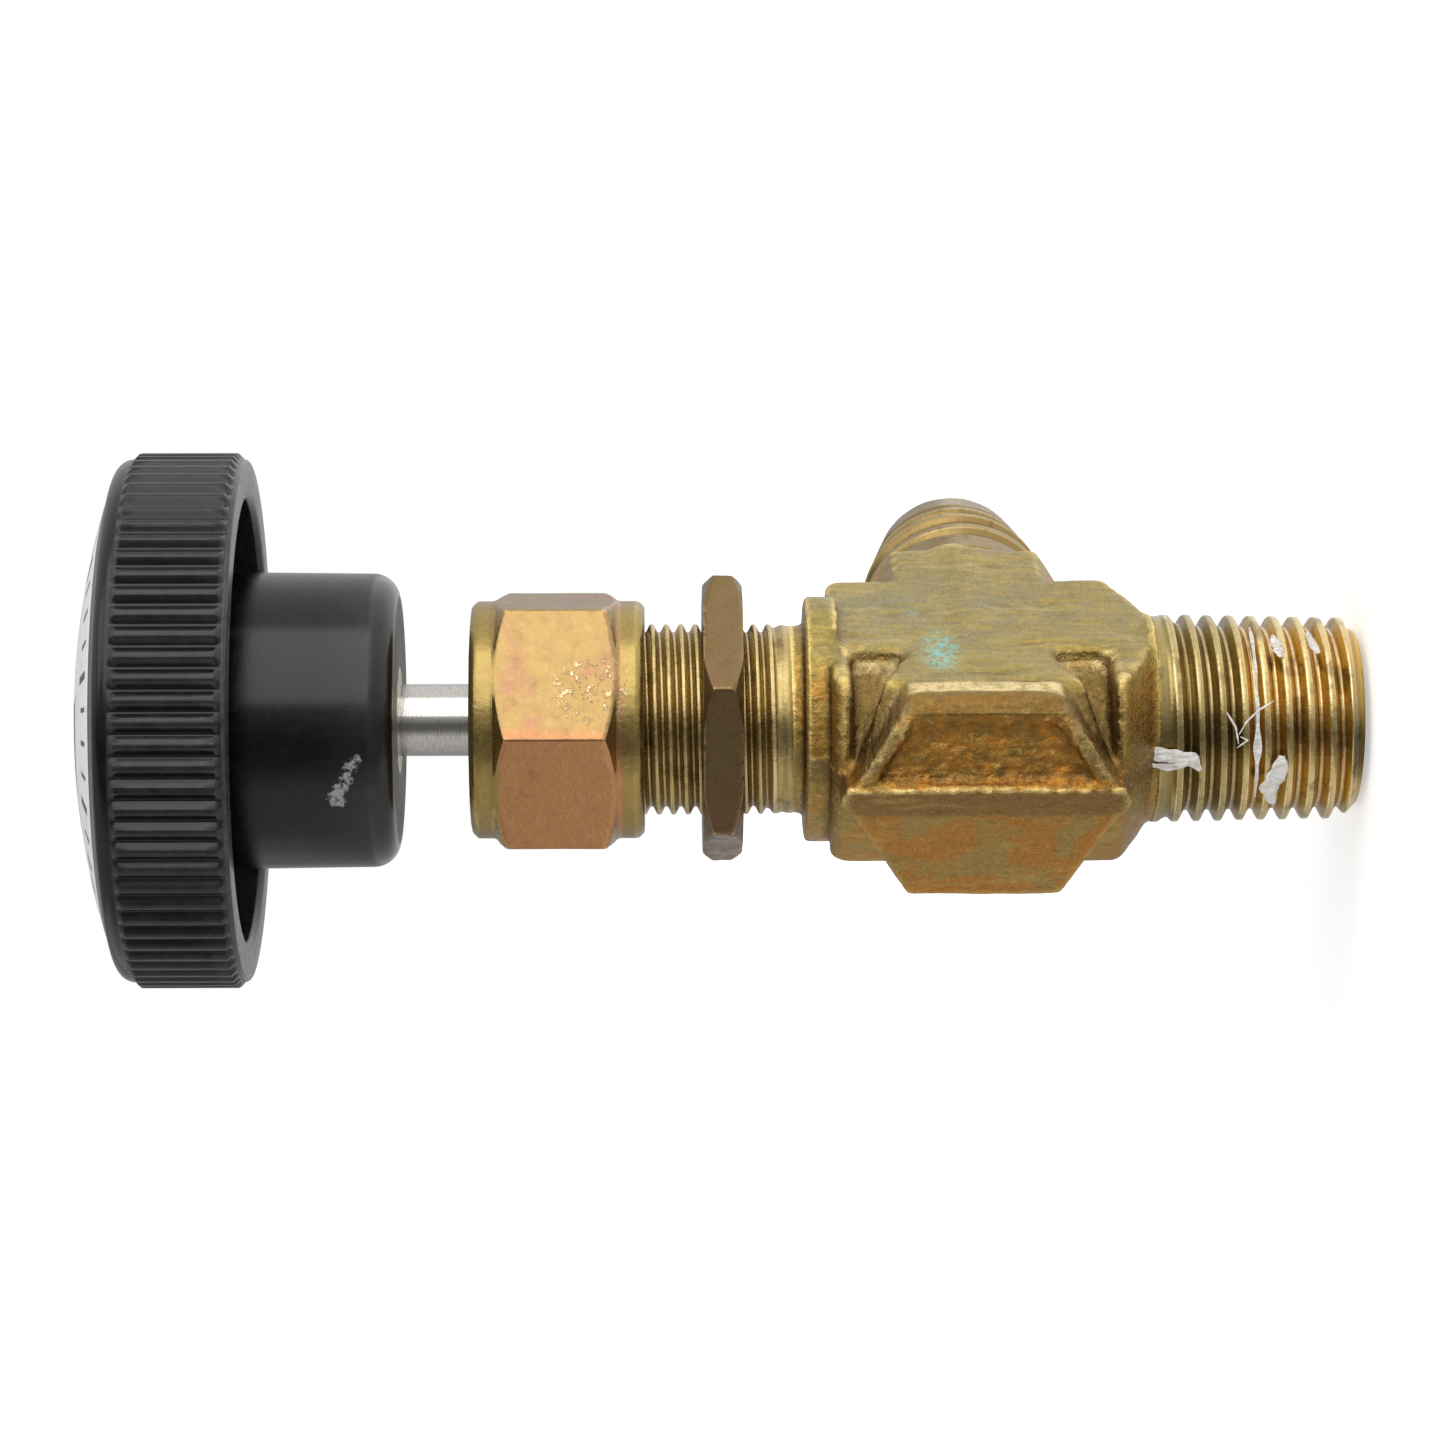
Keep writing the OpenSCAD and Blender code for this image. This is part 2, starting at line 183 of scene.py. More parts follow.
@contextlib.contextmanager
def bmesh_of(mesh):
    """The mesh opened for bmesh calls, and written back at the end."""
    bm = bmesh.new()
    bm.from_mesh(mesh)
    yield bm
    bm.to_mesh(mesh)
    bm.free()


def write_vertices(mesh, co):
    mesh.vertices.foreach_set("co", (co * MM).astype(np.float32).ravel())
    mesh.update()


def neighbour_mean(co, edges):
    a, b = edges[:, 0], edges[:, 1]
    count = np.bincount(a, minlength=len(co)) + np.bincount(b, minlength=len(co))
    out = np.empty_like(co)
    for k in range(3):
        total = np.bincount(a, co[b, k], len(co)) + np.bincount(b, co[a, k], len(co))
        out[:, k] = total / np.maximum(count, 1)
    return out


def smoothed(co, edges, rounds, share=None):
    """Points drawn half way to their neighbours' mean each round, or less where share is below 1."""
    weight = 0.5 if share is None else (0.5 * share)[:, None]
    for _ in range(rounds):
        co = co + weight * (neighbour_mean(co, edges) - co)
    return co


def fbm(co, size, octaves=3, offset=0.0):
    """Fractal noise at each point, about -1 to 1, whose largest lumps are size millimetres."""
    return np.array([noise.fractal(q, 1.0, 2.1, octaves) for q in (co / size + offset).tolist()])


def smoothstep(a, b, x):
    t = np.clip((x - a) / (b - a), 0, 1)
    return t * t * (3 - 2 * t)


def remeshed_copy(node, voxel_mm):
    """A new mesh with even quads over the CAD node's shape."""
    mesh = nodes[node].data.copy()
    obj = new_object(node + "_work", mesh)
    with bmesh_of(mesh) as bm:
        bmesh.ops.remove_doubles(bm, verts=bm.verts, dist=1e-6)
    mod = obj.modifiers.new("remesh", "REMESH")
    mod.mode = "VOXEL"
    mod.voxel_size = voxel_mm * MM
    bpy.context.view_layer.update()
    depsgraph = bpy.context.evaluated_depsgraph_get()
    out = bpy.data.meshes.new_from_object(obj.evaluated_get(depsgraph))
    bpy.data.objects.remove(obj)
    return out


def edge_wear(mesh):
    """How sharply each point stands out: 0 on flats, below in hollows, and near 1 on crests."""
    co, edges, n = vertex_array(mesh), edge_array(mesh), point_array(mesh, "normal")
    bend = -((neighbour_mean(co, edges) - co) * n).sum(1)
    step = np.linalg.norm(co[edges[:, 0]] - co[edges[:, 1]], axis=1).mean()
    return smoothed(np.repeat((bend / step)[:, None], 3, 1), edges, 4)[:, 0]


# ---- node helpers ----


class Nodes:
    """Adds shader nodes to a tree with short calls."""

    def __init__(self, tree):
        self.tree = tree

    def connect(self, value, socket):
        if isinstance(value, bpy.types.NodeSocket):
            self.tree.links.new(value, socket)
        elif socket.type == "RGBA" and len(value) == 3:
            socket.default_value = (*value, 1)
        else:
            socket.default_value = value

    def node(self, kind, inputs=None, **settings):
        n = self.tree.nodes.new("ShaderNode" + kind)
        for key, value in settings.items():
            setattr(n, key, value)
        for key, value in (inputs or {}).items():
            self.connect(value, n.inputs[key])
        return n

    def math(self, operation, *values):
        return self.node("Math", dict(enumerate(values)), operation=operation).outputs[0]

    def times(self, a, b):
        return self.math("MULTIPLY", a, b)

    def plus(self, a, b):
        return self.math("ADD", a, b)

    def vector(self, operation, a, b=None):
        """The number that a vector operation gives."""
        inputs = {0: a} if b is None else {0: a, 1: tuple(b)}
        return self.node("VectorMath", inputs, operation=operation).outputs["Value"]

    def spread(self, value, low, high, a=0.0, b=1.0, curve="LINEAR"):
        """value's way from low to high, as a number from a to b."""
        inputs = {"Value": value, "From Min": low, "From Max": high, "To Min": a, "To Max": b}
        return self.node("MapRange", inputs, interpolation_type=curve).outputs[0]


class Shader(Nodes):
    """A new material's nodes. Positions are the object's own, in millimetres."""

    def __init__(self, name):
        self.material = bpy.data.materials.new(name)
        self.material.use_nodes = True
        super().__init__(self.material.node_tree)
        self.bsdf = self.tree.nodes["Principled BSDF"]
        self.place = self.mapped(self.node("TexCoord").outputs["Object"], (1 / MM,) * 3)

    def mapped(self, place, scale, shift=(0, 0, 0)):
        inputs = {"Vector": place, "Location": shift, "Scale": scale}
        return self.node("Mapping", inputs).outputs[0]

    def noise(self, scale, detail=4, rough=0.6, stretch=None, warp=0.0):
        place = self.mapped(self.place, stretch) if stretch else self.place
        inputs = {"Vector": place, "Scale": scale, "Detail": detail, "Roughness": rough,
                  "Distortion": warp}
        return self.node("TexNoise", inputs).outputs["Fac"]

    def ramp(self, value, low, high, a=0.0, b=1.0):
        return self.spread(value, low, high, a, b, "SMOOTHSTEP")

    def mix(self, share, a, b):
        return self.node("Mix", {0: share, 6: a, 7: b}, data_type="RGBA").outputs[2]

    def over(self, color, tint, share, amount):
        """The color with the tint laid over it, by the product of share and amount."""
        return self.mix(self.times(share, amount), color, tint)

    def attribute(self, name):
        return self.node("Attribute", attribute_name=name).outputs["Fac"]

    def axis(self, index):
        return self.node("SeparateXYZ", {"Vector": self.place}).outputs[index]

    def gap(self, point):
        """Distance from the point, in millimetres."""
        return self.vector("DISTANCE", self.place, point)

    def bump(self, height, depth_mm, under=None):
        inputs = {"Height": height, "Distance": depth_mm * MM, "Strength": 1.0}
        if under is not None:
            inputs["Normal"] = under
        return self.node("Bump", inputs).outputs[0]

    def set(self, **values):
        for key, value in values.items():
            self.connect(value, self.bsdf.inputs[key.replace("_", " ")])
        return self.material


# ---- materials ----


def forged_brass():
    """Old forged skin: attributes from the mesh say where it is worn, where painted highlights go on
    its crests, lip and ledges, and where painted shade goes in its hollows, creases, pockets and under
    the lip.
    """
    s = Shader("forged_brass")
    x, y = s.axis(0), s.axis(1)
    big, mid, fine = s.noise(0.22, 5, 0.6), s.noise(0.9, 5, 0.65, warp=0.6), s.noise(4.0, 5, 0.7)
    streak = s.noise(1.0, 4, 0.65, stretch=(1.3, 1.3, 0.3), warp=0.4)
    gold, olive, grey = (0.385, 0.285, 0.078), (0.30, 0.23, 0.07), (0.225, 0.20, 0.11)
    brown, orange = (0.31, 0.175, 0.045), (0.52, 0.22, 0.034)
    color = s.mix(s.ramp(streak, 0.40, 0.60), gold, olive)
    color = s.over(color, grey, s.ramp(big, 0.5, 0.62), 0.5)
    # off the flats the skin is browner, and the end face is the brownest
    off_flat = s.ramp(s.plus(y, s.times(mid, 1.2)), -6.0, -4.6)
    end_face = s.ramp(s.plus(x, s.times(mid, 0.8)), -10.0, -10.6)
    rust = s.mix(s.ramp(mid, 0.35, 0.65), brown, orange)
    patches = s.plus(s.noise(0.35, 4, 0.6, stretch=(1, 1, 0.6), warp=1.0), s.times(y, 0.012))
    far_half = s.mix(s.ramp(patches, 0.44, 0.60), (0.43, 0.30, 0.105), (0.56, 0.245, 0.06))
    rust = s.over(rust, far_half, s.ramp(y, 0.6, 1.0), 0.8)
    trimmed = s.times(s.ramp(y, -0.95, -0.6), s.ramp(y, 1.0, 0.7))
    rust = s.over(rust, (0.29, 0.17, 0.072), trimmed, 0.85)
    amount = s.math("MAXIMUM", end_face, s.times(off_flat, 0.6))
    color = s.over(color, rust, amount, 0.92)
    light = s.noise(1.0, 3, 0.6, stretch=(1.0, 1.6, 0.22))
    color = s.over(color, (0.56, 0.40, 0.14), s.ramp(light, 0.55, 0.68), 0.4)
    stand = s.attribute("stand")
    # painted shade: darker in the hollows, where stand is below 0
    color = s.over(color, (0.15, 0.092, 0.032), s.ramp(stand, -0.03, -0.22), 0.6)
    # painted highlight: brighter on the crests, where stand is above 0, most on the near half that
    # faces the lamps
    crest = s.times(s.ramp(stand, 0.10, 0.26), s.ramp(y, -0.6, -1.6, 0.15, 1.0))
    color = s.over(color, (0.66, 0.49, 0.16), crest, s.ramp(streak, 0.35, 0.6, 0.3, 0.75))
    wear_and_shade = s.attribute("wear_and_shade")
    # painted shade: darker in the creases, where the attribute is below 0
    color = s.over(color, (0.12, 0.072, 0.026), s.ramp(wear_and_shade, -0.02, -0.14), 0.25)
    # worn edges are brighter, and a painted highlight makes them brighter still on the near half, which
    # faces the lamps
    near_half_highlight = s.ramp(y, 0.6, -0.4, 0.2, 0.85)
    color = s.over(color, (0.88, 0.66, 0.26), s.ramp(wear_and_shade, 0.03, 0.12), near_half_highlight)
    # the lip attribute is above 0 where a painted highlight lies along the lip and the pocket ledges,
    # and below 0 where painted shade lies under the lip
    lip_highlight_and_shade = s.attribute("lip")
    lip = s.times(s.ramp(lip_highlight_and_shade, 0.0, 1.0), s.ramp(s.noise(1.2, 4, 0.6), 0.40, 0.52, 0.35, 1.0))
    color = s.mix(lip, color, (0.78, 0.60, 0.27))
    # painted shade under the lip, where the attribute is below 0
    color = s.mix(s.ramp(lip_highlight_and_shade, 0.0, -1.0, 0.0, 0.8), color, (0.19, 0.115, 0.034))
    rib, pit = s.attribute("rib"), s.attribute("pit")
    color = s.over(color, (0.27, 0.20, 0.095), rib, s.ramp(mid, 0.3, 0.7, 0.35, 0.8))
    # painted shade: the pocket floors past the ribs are darkened
    color = s.over(color, (0.14, 0.095, 0.035), pit, s.ramp(fine, 0.35, 0.6, 0.9, 0.55))
    # green corrosion on the near flat, in a patch drawn out across the stem
    centre, reach = (-3.9, -FLAT_Y, 28.0), (3.6, 2, 1.4)
    inside = s.mapped(s.place, [1 / r for r in reach], [-c / r for c, r in zip(centre, reach)])
    patch = s.ramp(s.vector("LENGTH", inside), 1.25, 0.3)
    green = s.times(patch, s.ramp(s.noise(1.5, 6, 0.8, warp=0.9), 0.49, 0.53))
    specks = s.times(s.ramp(s.gap((-2.0, -FLAT_Y, 27.5)), 7.0, 1.5),
                     s.ramp(s.noise(2.2, 6, 0.8, warp=0.9), 0.60, 0.65))
    green = s.math("MAXIMUM", green, s.times(specks, 0.6))
    veil = s.times(s.ramp(s.gap((1.5, -FLAT_Y, 29.5)), 8.0, 2.0),
                   s.ramp(s.noise(0.7, 5, 0.75, warp=1.2), 0.50, 0.62))
    color = s.over(color, (0.29, 0.30, 0.21), veil, 0.55)
    color = s.over(color, (0.27, 0.62, 0.54), green, 0.92)
    rough = s.math("SUBTRACT", s.ramp(fine, 0.3, 0.75, 0.20, 0.38), s.times(lip, 0.08))
    rough = s.plus(rough, s.times(green, 0.35))
    metal = s.math("SUBTRACT", 0.98, s.times(green, 0.93))
    n = s.bump(s.noise(1.7, 5, 0.7, warp=0.5), 0.16)
    n = s.bump(fine, 0.04, s.bump(streak, 0.10, n))
    return s.set(Base_Color=color, Metallic=metal, Roughness=rough, Normal=n)


def thread_brass(name, old, bright=None, rough=0.26):
    """Threads whose colours are (crest, flank, root); the crest colour is only a painted highlight, a
    thin line along each crest's corners and in the roots. bright is (from z, to z, colours) of a
    cleaner stretch, with white residue of the tape in it."""
    s = Shader(name)
    height = s.attribute("crest")
    around = s.noise(0.35, 5, 0.65, stretch=(1, 1, 1.7))
    streak = s.noise(2.2, 4, 0.7)
    # a painted highlight: a thin light line along the corner of each crest, and a fainter one in the
    # root
    corner = s.times(s.ramp(height, 0.80, 0.93), s.ramp(height, 1.0, 0.975, 0.3, 1.0))
    line = s.math("MAXIMUM", corner, s.ramp(height, 0.03, 0.0, 0.0, 0.45))
    line = s.times(line, s.ramp(streak, 0.35, 0.55, 0.45, 1.0))

    def colors(crest, flank, root):
        return s.mix(line, s.mix(s.ramp(height, 0.05, 0.5), root, flank), crest)

    color = colors(*old)
    if bright is not None:
        z_from, z_to, new = bright
        ragged_z = s.plus(s.axis(2), s.times(s.math("SUBTRACT", around, 0.5), 2.2))
        color = s.mix(s.ramp(ragged_z, z_from, z_to), color, colors(*new))
        white = s.times(s.ramp(s.noise(0.9, 5, 0.8, warp=0.8), 0.57, 0.66),
                        s.ramp(height, 0.8, 0.2, 0.05, 0.75))
        color = s.over(color, (0.66, 0.60, 0.50), white, s.ramp(s.axis(2), 8.6, 7.6, 0.15, 0.8))
    color = s.over(color, (0.15, 0.10, 0.04), s.ramp(around, 0.53, 0.66), 0.6)
    roughness = s.ramp(streak, 0.3, 0.7, rough - 0.08, rough + 0.12)
    n = s.bump(s.noise(3.5, 4, 0.7), 0.025)
    return s.set(Base_Color=color, Metallic=0.97, Roughness=roughness, Normal=n)


def machined_brass(name, gold, tint, dark, rough=0.3, scratched_at=None, low=None, ends=None):
    """Turned and tarnished brass, with blotches of a second tint. scratched_at is the radius,
    height and angle of some slanting scratches, low the tint laid over the side that faces down and
    towards the camera, and ends the middle height, half length and tint that set the turned ends apart."""
    s = Shader(name)
    blotch = s.noise(0.16, 4, 0.55, warp=0.9)
    small = s.noise(0.8, 5, 0.7)
    color = s.mix(s.ramp(blotch, 0.50, 0.64), gold, tint)
    if low is not None:
        depth = s.vector("DOT_PRODUCT", s.place, side * 0.76 - up * 0.65)
        color = s.over(color, low, s.ramp(s.plus(depth, blotch), 7.2, 8.2), 0.85)
    if ends is not None:
        middle, half, end_tint = ends
        beyond = s.math("ABSOLUTE", s.math("SUBTRACT", s.axis(2), middle))
        color = s.over(color, end_tint, s.ramp(beyond, half, half + 0.4), 0.85)
    color = s.over(color, dark, s.ramp(small, 0.56, 0.72), 0.45)
    wear_and_shade = s.attribute("wear_and_shade")
    color = s.over(color, (0.86, 0.66, 0.33), s.ramp(wear_and_shade, 0.04, 0.16), 0.7)
    # painted shade: darker in the creases, where the attribute is below 0
    color = s.over(color, dark, s.ramp(wear_and_shade, -0.03, -0.15), 0.7)
    n = s.bump(s.noise(2.4, 4, 0.6), 0.02)
    roughness = s.ramp(small, 0.3, 0.7, rough - 0.07, rough + 0.12)
    if scratched_at is not None:
        reach = s.plus(s.gap(point_round_stem(*scratched_at)), s.times(small, 1.5))
        lines = s.noise(2.2, 4, 0.65, stretch=(1.1, 0.3, 0.8), warp=0.4)
        lines = s.times(s.ramp(lines, 0.54, 0.60), s.ramp(reach, 3.9, 2.2, 0.1, 1.0))
        color = s.over(color, (0.92, 0.74, 0.46), lines, 0.35)
        n = s.bump(lines, 0.025, n)
    return s.set(Base_Color=color, Metallic=0.92, Roughness=roughness, Normal=n)


SCUFF_R = 9.9
SCUFF_POINTS = ((66.4, -17), (66.8, -22), (67.1, -27), (67.5, -32))     # height and degrees


def black_phenolic():
    s = Shader("black_phenolic")
    cloud = s.noise(1.3, 5, 0.7)
    color = s.mix(s.ramp(cloud, 0.45, 0.75), (0.0035, 0.0033, 0.0042), (0.008, 0.008, 0.0085))
    dust_and_sheen = s.attribute("dust_and_sheen")
    uneven = s.ramp(s.noise(0.9, 5, 0.7), 0.3, 0.62, 0.35, 1.0)
    # dust on the hub and its rear face; on the rim's ridges the same grey is partly a painted sheen
    color = s.over(color, (0.175, 0.17, 0.14), dust_and_sheen, uneven)
    # a scuff low on the hub's near side
    gaps = [s.gap(point_round_stem(SCUFF_R, z, math.radians(turn))) for z, turn in SCUFF_POINTS]
    near = gaps[0]
    for gap in gaps[1:]:
        near = s.math("MINIMUM", near, gap)
    torn = s.times(s.math("SUBTRACT", s.noise(0.9, 5, 0.75), 0.5), 2.6)
    mark = s.times(s.ramp(s.plus(near, torn), 0.55, 0.3), s.ramp(s.noise(2.6, 5, 0.8), 0.38, 0.5))
    color = s.mix(mark, color, (0.30, 0.30, 0.31))
    dull = s.times(s.math("MAXIMUM", dust_and_sheen, mark), 0.4)
    rough = s.plus(s.ramp(cloud, 0.3, 0.7, 0.12, 0.2), dull)
    n = s.bump(s.noise(9.0, 3, 0.6), 0.006)
    return s.set(Base_Color=color, Roughness=rough, Specular_IOR_Level=0.38, Normal=n)


def mottled(name, a, b, cloud, low, high, rough, grain=None, depth_mm=0.0, metallic=0.0):
    """A plain finish between the colours a and b; cloud and grain are what noise() is given."""
    s = Shader(name)
    if grain is not None:
        s.set(Normal=s.bump(s.noise(*grain), depth_mm))
    color = s.mix(s.ramp(s.noise(*cloud), low, high), a, b)
    return s.set(Base_Color=color, Metallic=metallic, Roughness=rough)


def polished_steel():
    s = Shader("polished_steel")
    lines = s.noise(6.0, 3, 0.6, stretch=(0.3, 0.3, 3.0))
    color = s.mix(s.ramp(lines, 0.4, 0.65), (0.60, 0.58, 0.54), (0.44, 0.42, 0.39))
    rough = s.ramp(lines, 0.3, 0.7, 0.1, 0.2)
    return s.set(Base_Color=color, Metallic=1.0, Roughness=rough, Normal=s.bump(lines, 0.004))


def ptfe():
    """Thread tape: fibres that thin out to nothing, except along the strip's hems."""
    s = Shader("ptfe")
    fibres = s.noise(2.6, 4, 0.7, stretch=(1, 1, 0.35), warp=0.5)
    color = s.mix(s.ramp(s.noise(1.4, 4, 0.7), 0.35, 0.7), (0.93, 0.92, 0.90), (0.74, 0.70, 0.62))
    alpha = s.math("MAXIMUM", s.ramp(fibres, 0.36, 0.6, 0.55, 1.0), s.attribute("hem"))
    return s.set(Base_Color=color, Roughness=0.38, Alpha=alpha, Normal=s.bump(fibres, 0.12))


# a thread's colours: the painted highlight along its crests and roots, the flank, and the root
OLIVE = ((0.72, 0.58, 0.30), (0.33, 0.25, 0.095), (0.24, 0.17, 0.06))
GOLD = ((0.92, 0.78, 0.50), (0.62, 0.43, 0.13), (0.46, 0.27, 0.065))
BRONZE = ((0.72, 0.57, 0.28), (0.42, 0.31, 0.125), (0.28, 0.195, 0.075))
UMBER = ((0.44, 0.33, 0.15), (0.27, 0.185, 0.07), (0.12, 0.07, 0.026))
FORGED = forged_brass()
INLET_THREAD = thread_brass("inlet_thread_brass", OLIVE, (8.6, 7.5, GOLD), rough=0.17)
BONNET_THREAD = thread_brass("bonnet_thread_brass", BRONZE)
OUTLET_THREAD = thread_brass("outlet_thread_brass", UMBER)
NUT = machined_brass(
    "packing_nut_brass", (0.345, 0.225, 0.085), (0.34, 0.185, 0.098), (0.19, 0.11, 0.045), 0.24,
    scratched_at=(8.2, 50.8, math.radians(14)), low=(0.44, 0.205, 0.088),
    ends=(52.85, 3.85, (0.33, 0.24, 0.075)))
PANEL_NUT = machined_brass(
    "panel_nut_brass", (0.18, 0.118, 0.052), (0.195, 0.115, 0.062), (0.095, 0.06, 0.027))
PHENOLIC = black_phenolic()
LABEL = mottled("label_face", (0.80, 0.80, 0.775), (0.66, 0.655, 0.62), (0.5, 5, 0.7), 0.5, 0.75, 0.34,
                (3.0, 3, 0.5), 0.008)
INK = mottled("label_ink", (0.012, 0.012, 0.013), (0.035, 0.035, 0.035), (2.0, 4, 0.7), 0.45, 0.7, 0.3)
STEEL = polished_steel()
DARK_STEEL = mottled("dark_steel", (0.06, 0.06, 0.062), (0.11, 0.105, 0.1), (3.0, 4, 0.6), 0.4, 0.7,
                     0.36, (7.0, 3, 0.6), 0.005, metallic=1.0)
PTFE = ptfe()
PACKING = mottled("packing", (0.80, 0.79, 0.75), (0.66, 0.63, 0.56), (1.4, 4, 0.7), 0.35, 0.7, 0.45,
                  (3.0, 4, 0.7), 0.02)

# ---- threads ----

# a thread's outline over one pitch: share of the pitch, and height from root 0 to crest 1
PROFILE_U = [0.0, 0.07, 0.12, 0.2, 0.3, 0.36, 0.39, 0.45, 0.55, 0.61, 0.64, 0.7, 0.8, 0.88, 0.93]
PROFILE_H = [0.0, 0.01, 0.08, 0.35, 0.73, 0.92, 0.985, 1.0, 1.0, 0.985, 0.92, 0.73, 0.35, 0.08, 0.01]
LEAD_IN = 1.5           # pitches laid below the start, so that the first turn is whole
FULL_DEPTH = 0.3        # a shallower groove is coloured as a run-out
RUN_OUT_HEIGHT, BORE_HEIGHT = 0.75, 0.3      # the crest attribute there, and inside the sleeve


def profile_height(u):
    return np.interp(np.mod(u, 1.0), PROFILE_U + [1.0], PROFILE_H + [0.0])


def thread_mesh(z0, z1, pitch, crest, root, inner_r, phase=0.0, columns=160):
    """A closed sleeve with a right-hand thread outside, its edges laid along the helix. crest and
    root give the radius at z and angle. Returns the points, the faces and each point's height."""
    per_turn = len(PROFILE_U)
    turns = int(math.ceil((z1 - z0) / pitch)) + 3
    u = np.array([t + p for t in range(turns) for p in PROFILE_U])
    theta = np.arange(columns) * TURN / columns
    raw = z0 - LEAD_IN * pitch + pitch * (u[:, None] + theta[None, :] / TURN)
    z = np.clip(raw, z0, z1)
    h = profile_height((z - z0) / pitch + LEAD_IN - theta[None, :] / TURN)
    angle = np.broadcast_to(theta[None, :], z.shape)
    low, high = root(z, angle), crest(z, angle)
    r = low + (high - low) * h
    a = theta[None, :] + phase
    grid = np.stack([r * np.cos(a), r * np.sin(a), z], -1)
    cut = np.clip((high - low) / FULL_DEPTH, 0, 1)
    share = h * cut + (1 - cut) * RUN_OUT_HEIGHT
    # points past an end are all one point on its ring
    verts, heights, index = [], [], np.zeros(z.shape, int)
    for j in range(columns):
        ends = [None, None]
        for n in range(len(u)):
            at_end = 0 if raw[n, j] <= z0 else 1 if raw[n, j] >= z1 else None
            if at_end is not None and ends[at_end] is not None:
                index[n, j] = ends[at_end]
                continue
            index[n, j] = len(verts)
            verts.append(grid[n, j])
            heights.append(share[n, j])
            if at_end is not None:
                ends[at_end] = index[n, j]
    faces = []
    rows = len(u)
    for j in range(columns):
        # the last column meets the first one turn further on
        last = j == columns - 1
        k, shift = (0, per_turn) if last else (j + 1, 0)
        for n in range(rows - 1 - shift):
            m = n + shift
            quad = [index[n, j], index[m, k], index[m + 1, k], index[n + 1, j]]
            quad = [int(q) for i, q in enumerate(quad) if q != quad[i - 1]]
            if len(set(quad)) >= 3:
                faces.append(quad)
    base = len(verts)
    bottom, top = index[0].tolist(), index[-1].tolist()
    for z_ring in (z0, z1):
        for a in theta + phase:
            verts.append([inner_r * math.cos(a), inner_r * math.sin(a), z_ring])
            heights.append(BORE_HEIGHT)
    for j in range(columns):
        k = (j + 1) % columns
        b0, b1, t0, t1 = base + j, base + k, base + columns + j, base + columns + k
        faces += [[b0, b1, bottom[k], bottom[j]], [b1, b0, t0, t1], [t0, top[j], top[k], t1]]
    return np.array(verts), faces, np.array(heights)


def taper(z, *points):
    """The radius at z, from (z, radius) pairs."""
    return np.interp(z, [p[0] for p in points], [p[1] for p in points])


def wobble(z, a, amount):
    return amount * (np.sin(3 * a + z * 1.7) + np.sin(7 * a - z * 2.3)) * 0.5


def thread_piece(name, mesh_data, material):
    verts, faces, heights = mesh_data
    new_piece(name, verts, faces, "body", material, attrs={"crest": heights})


def add_inlet_thread():
    """The crest tapers towards the end, and the last turns run out into the neck."""
    def crest(z, a):
        cone = taper(z, (0, INLET_R - 0.04), (12.6, INLET_R + 0.2)) + wobble(z, a, 0.015)
        return np.minimum(cone, taper(z, (0, INLET_R - 0.95), (0.95, INLET_R + 0.02), (20, 20)))

    def root(z, a):
        groove = taper(z, (0, INLET_R - 0.80), (11.4, INLET_R - 0.58), (13.1, INLET_R + 0.08),
                       (14, INLET_R + 0.1))
        return np.minimum(crest(z, a), groove)

    thread = thread_mesh(0.0, NECK_Z + 0.1, 1.445, crest, root, 4.4, phase=0.25, columns=176)
    thread_piece("inlet_thread", thread, INLET_THREAD)


def add_bonnet_thread():
    """Parallel, with a short run-out above the relief."""
    def crest(z, a):
        ends = taper(z, (SEAT_Z, BONNET_R - 0.1), (SEAT_Z + 2.2, BONNET_R - 0.02),
                     (SEAT_Z + 3, BONNET_R + 1), (BONNET_TOP_Z - 0.7, BONNET_R + 1),
                     (BONNET_TOP_Z, BONNET_R - 0.5))
        return np.minimum(BONNET_R + wobble(z, a, 0.01), ends)

    def root(z, a):
        relief = taper(z, (SEAT_Z + 1.7, BONNET_R - 0.12), (SEAT_Z + 2.7, BONNET_R - 0.52))
        return np.minimum(crest(z, a), relief)

    thread = thread_mesh(SEAT_Z + 0.6, BONNET_TOP_Z, 0.97, crest, root, 4.3, columns=144)
    thread_piece("bonnet_thread", thread, BONNET_THREAD)


def add_outlet_thread():
    """Coarse turns behind a tapered nose, made standing up and then laid along +X."""
    co = vertex_array(nodes["valve_body"].data)
    nose = co[co[:, 0] > OUTLET_END_X - 0.3]
    nose_r = float(np.hypot(nose[:, 1], nose[:, 2] - OUTLET_Z).max())

    def crest(x, a):
        return wobble(x, a, 0.01) + taper(
            x, (20.2, OUTLET_R + 0.05), (OUTLET_END_X - 0.25, nose_r + 0.02),
            (OUTLET_END_X, nose_r - 0.2))

    def root(x, a):
        return crest(x, a) - taper(x, (16.6, 0.0), (17.6, 0.62), (22.2, 0.6), (23.9, 0.34), (24.6, 0.0))

    v, faces, heights = thread_mesh(14.5, OUTLET_END_X, 2.4, crest, root, 3.4, phase=0.6)
    v = np.stack([v[:, 2], v[:, 1], OUTLET_Z - v[:, 0]], 1)
    thread_piece("outlet_thread", (v, faces, heights), OUTLET_THREAD)


add_inlet_thread()
add_bonnet_thread()
add_outlet_thread()

# ---- forged body ----

PANEL_EDGES = (((7.2, -1.3), (4.55, -6.1)), ((-7.2, -1.3), (-4.55, -6.1)), ((-7.2, -1.3), (7.2, -1.3)))
BEAD_H, BEAD_W, BEAD_STEP = 0.075, 0.15, 0.5
FORGED_VOXEL = 0.18
# the body is drawn in under the threads, which are pieces of their own
INLET_CORE_R, BONNET_CORE_R, OUTLET_CORE_R = 5.2, 5.1, 4.2


def within(x, out_a, in_a, out_b, in_b):
    """1 between the two inner limits, 0 outside the two outer ones."""
    return smoothstep(out_a, in_a, x) * smoothstep(out_b, in_b, x)


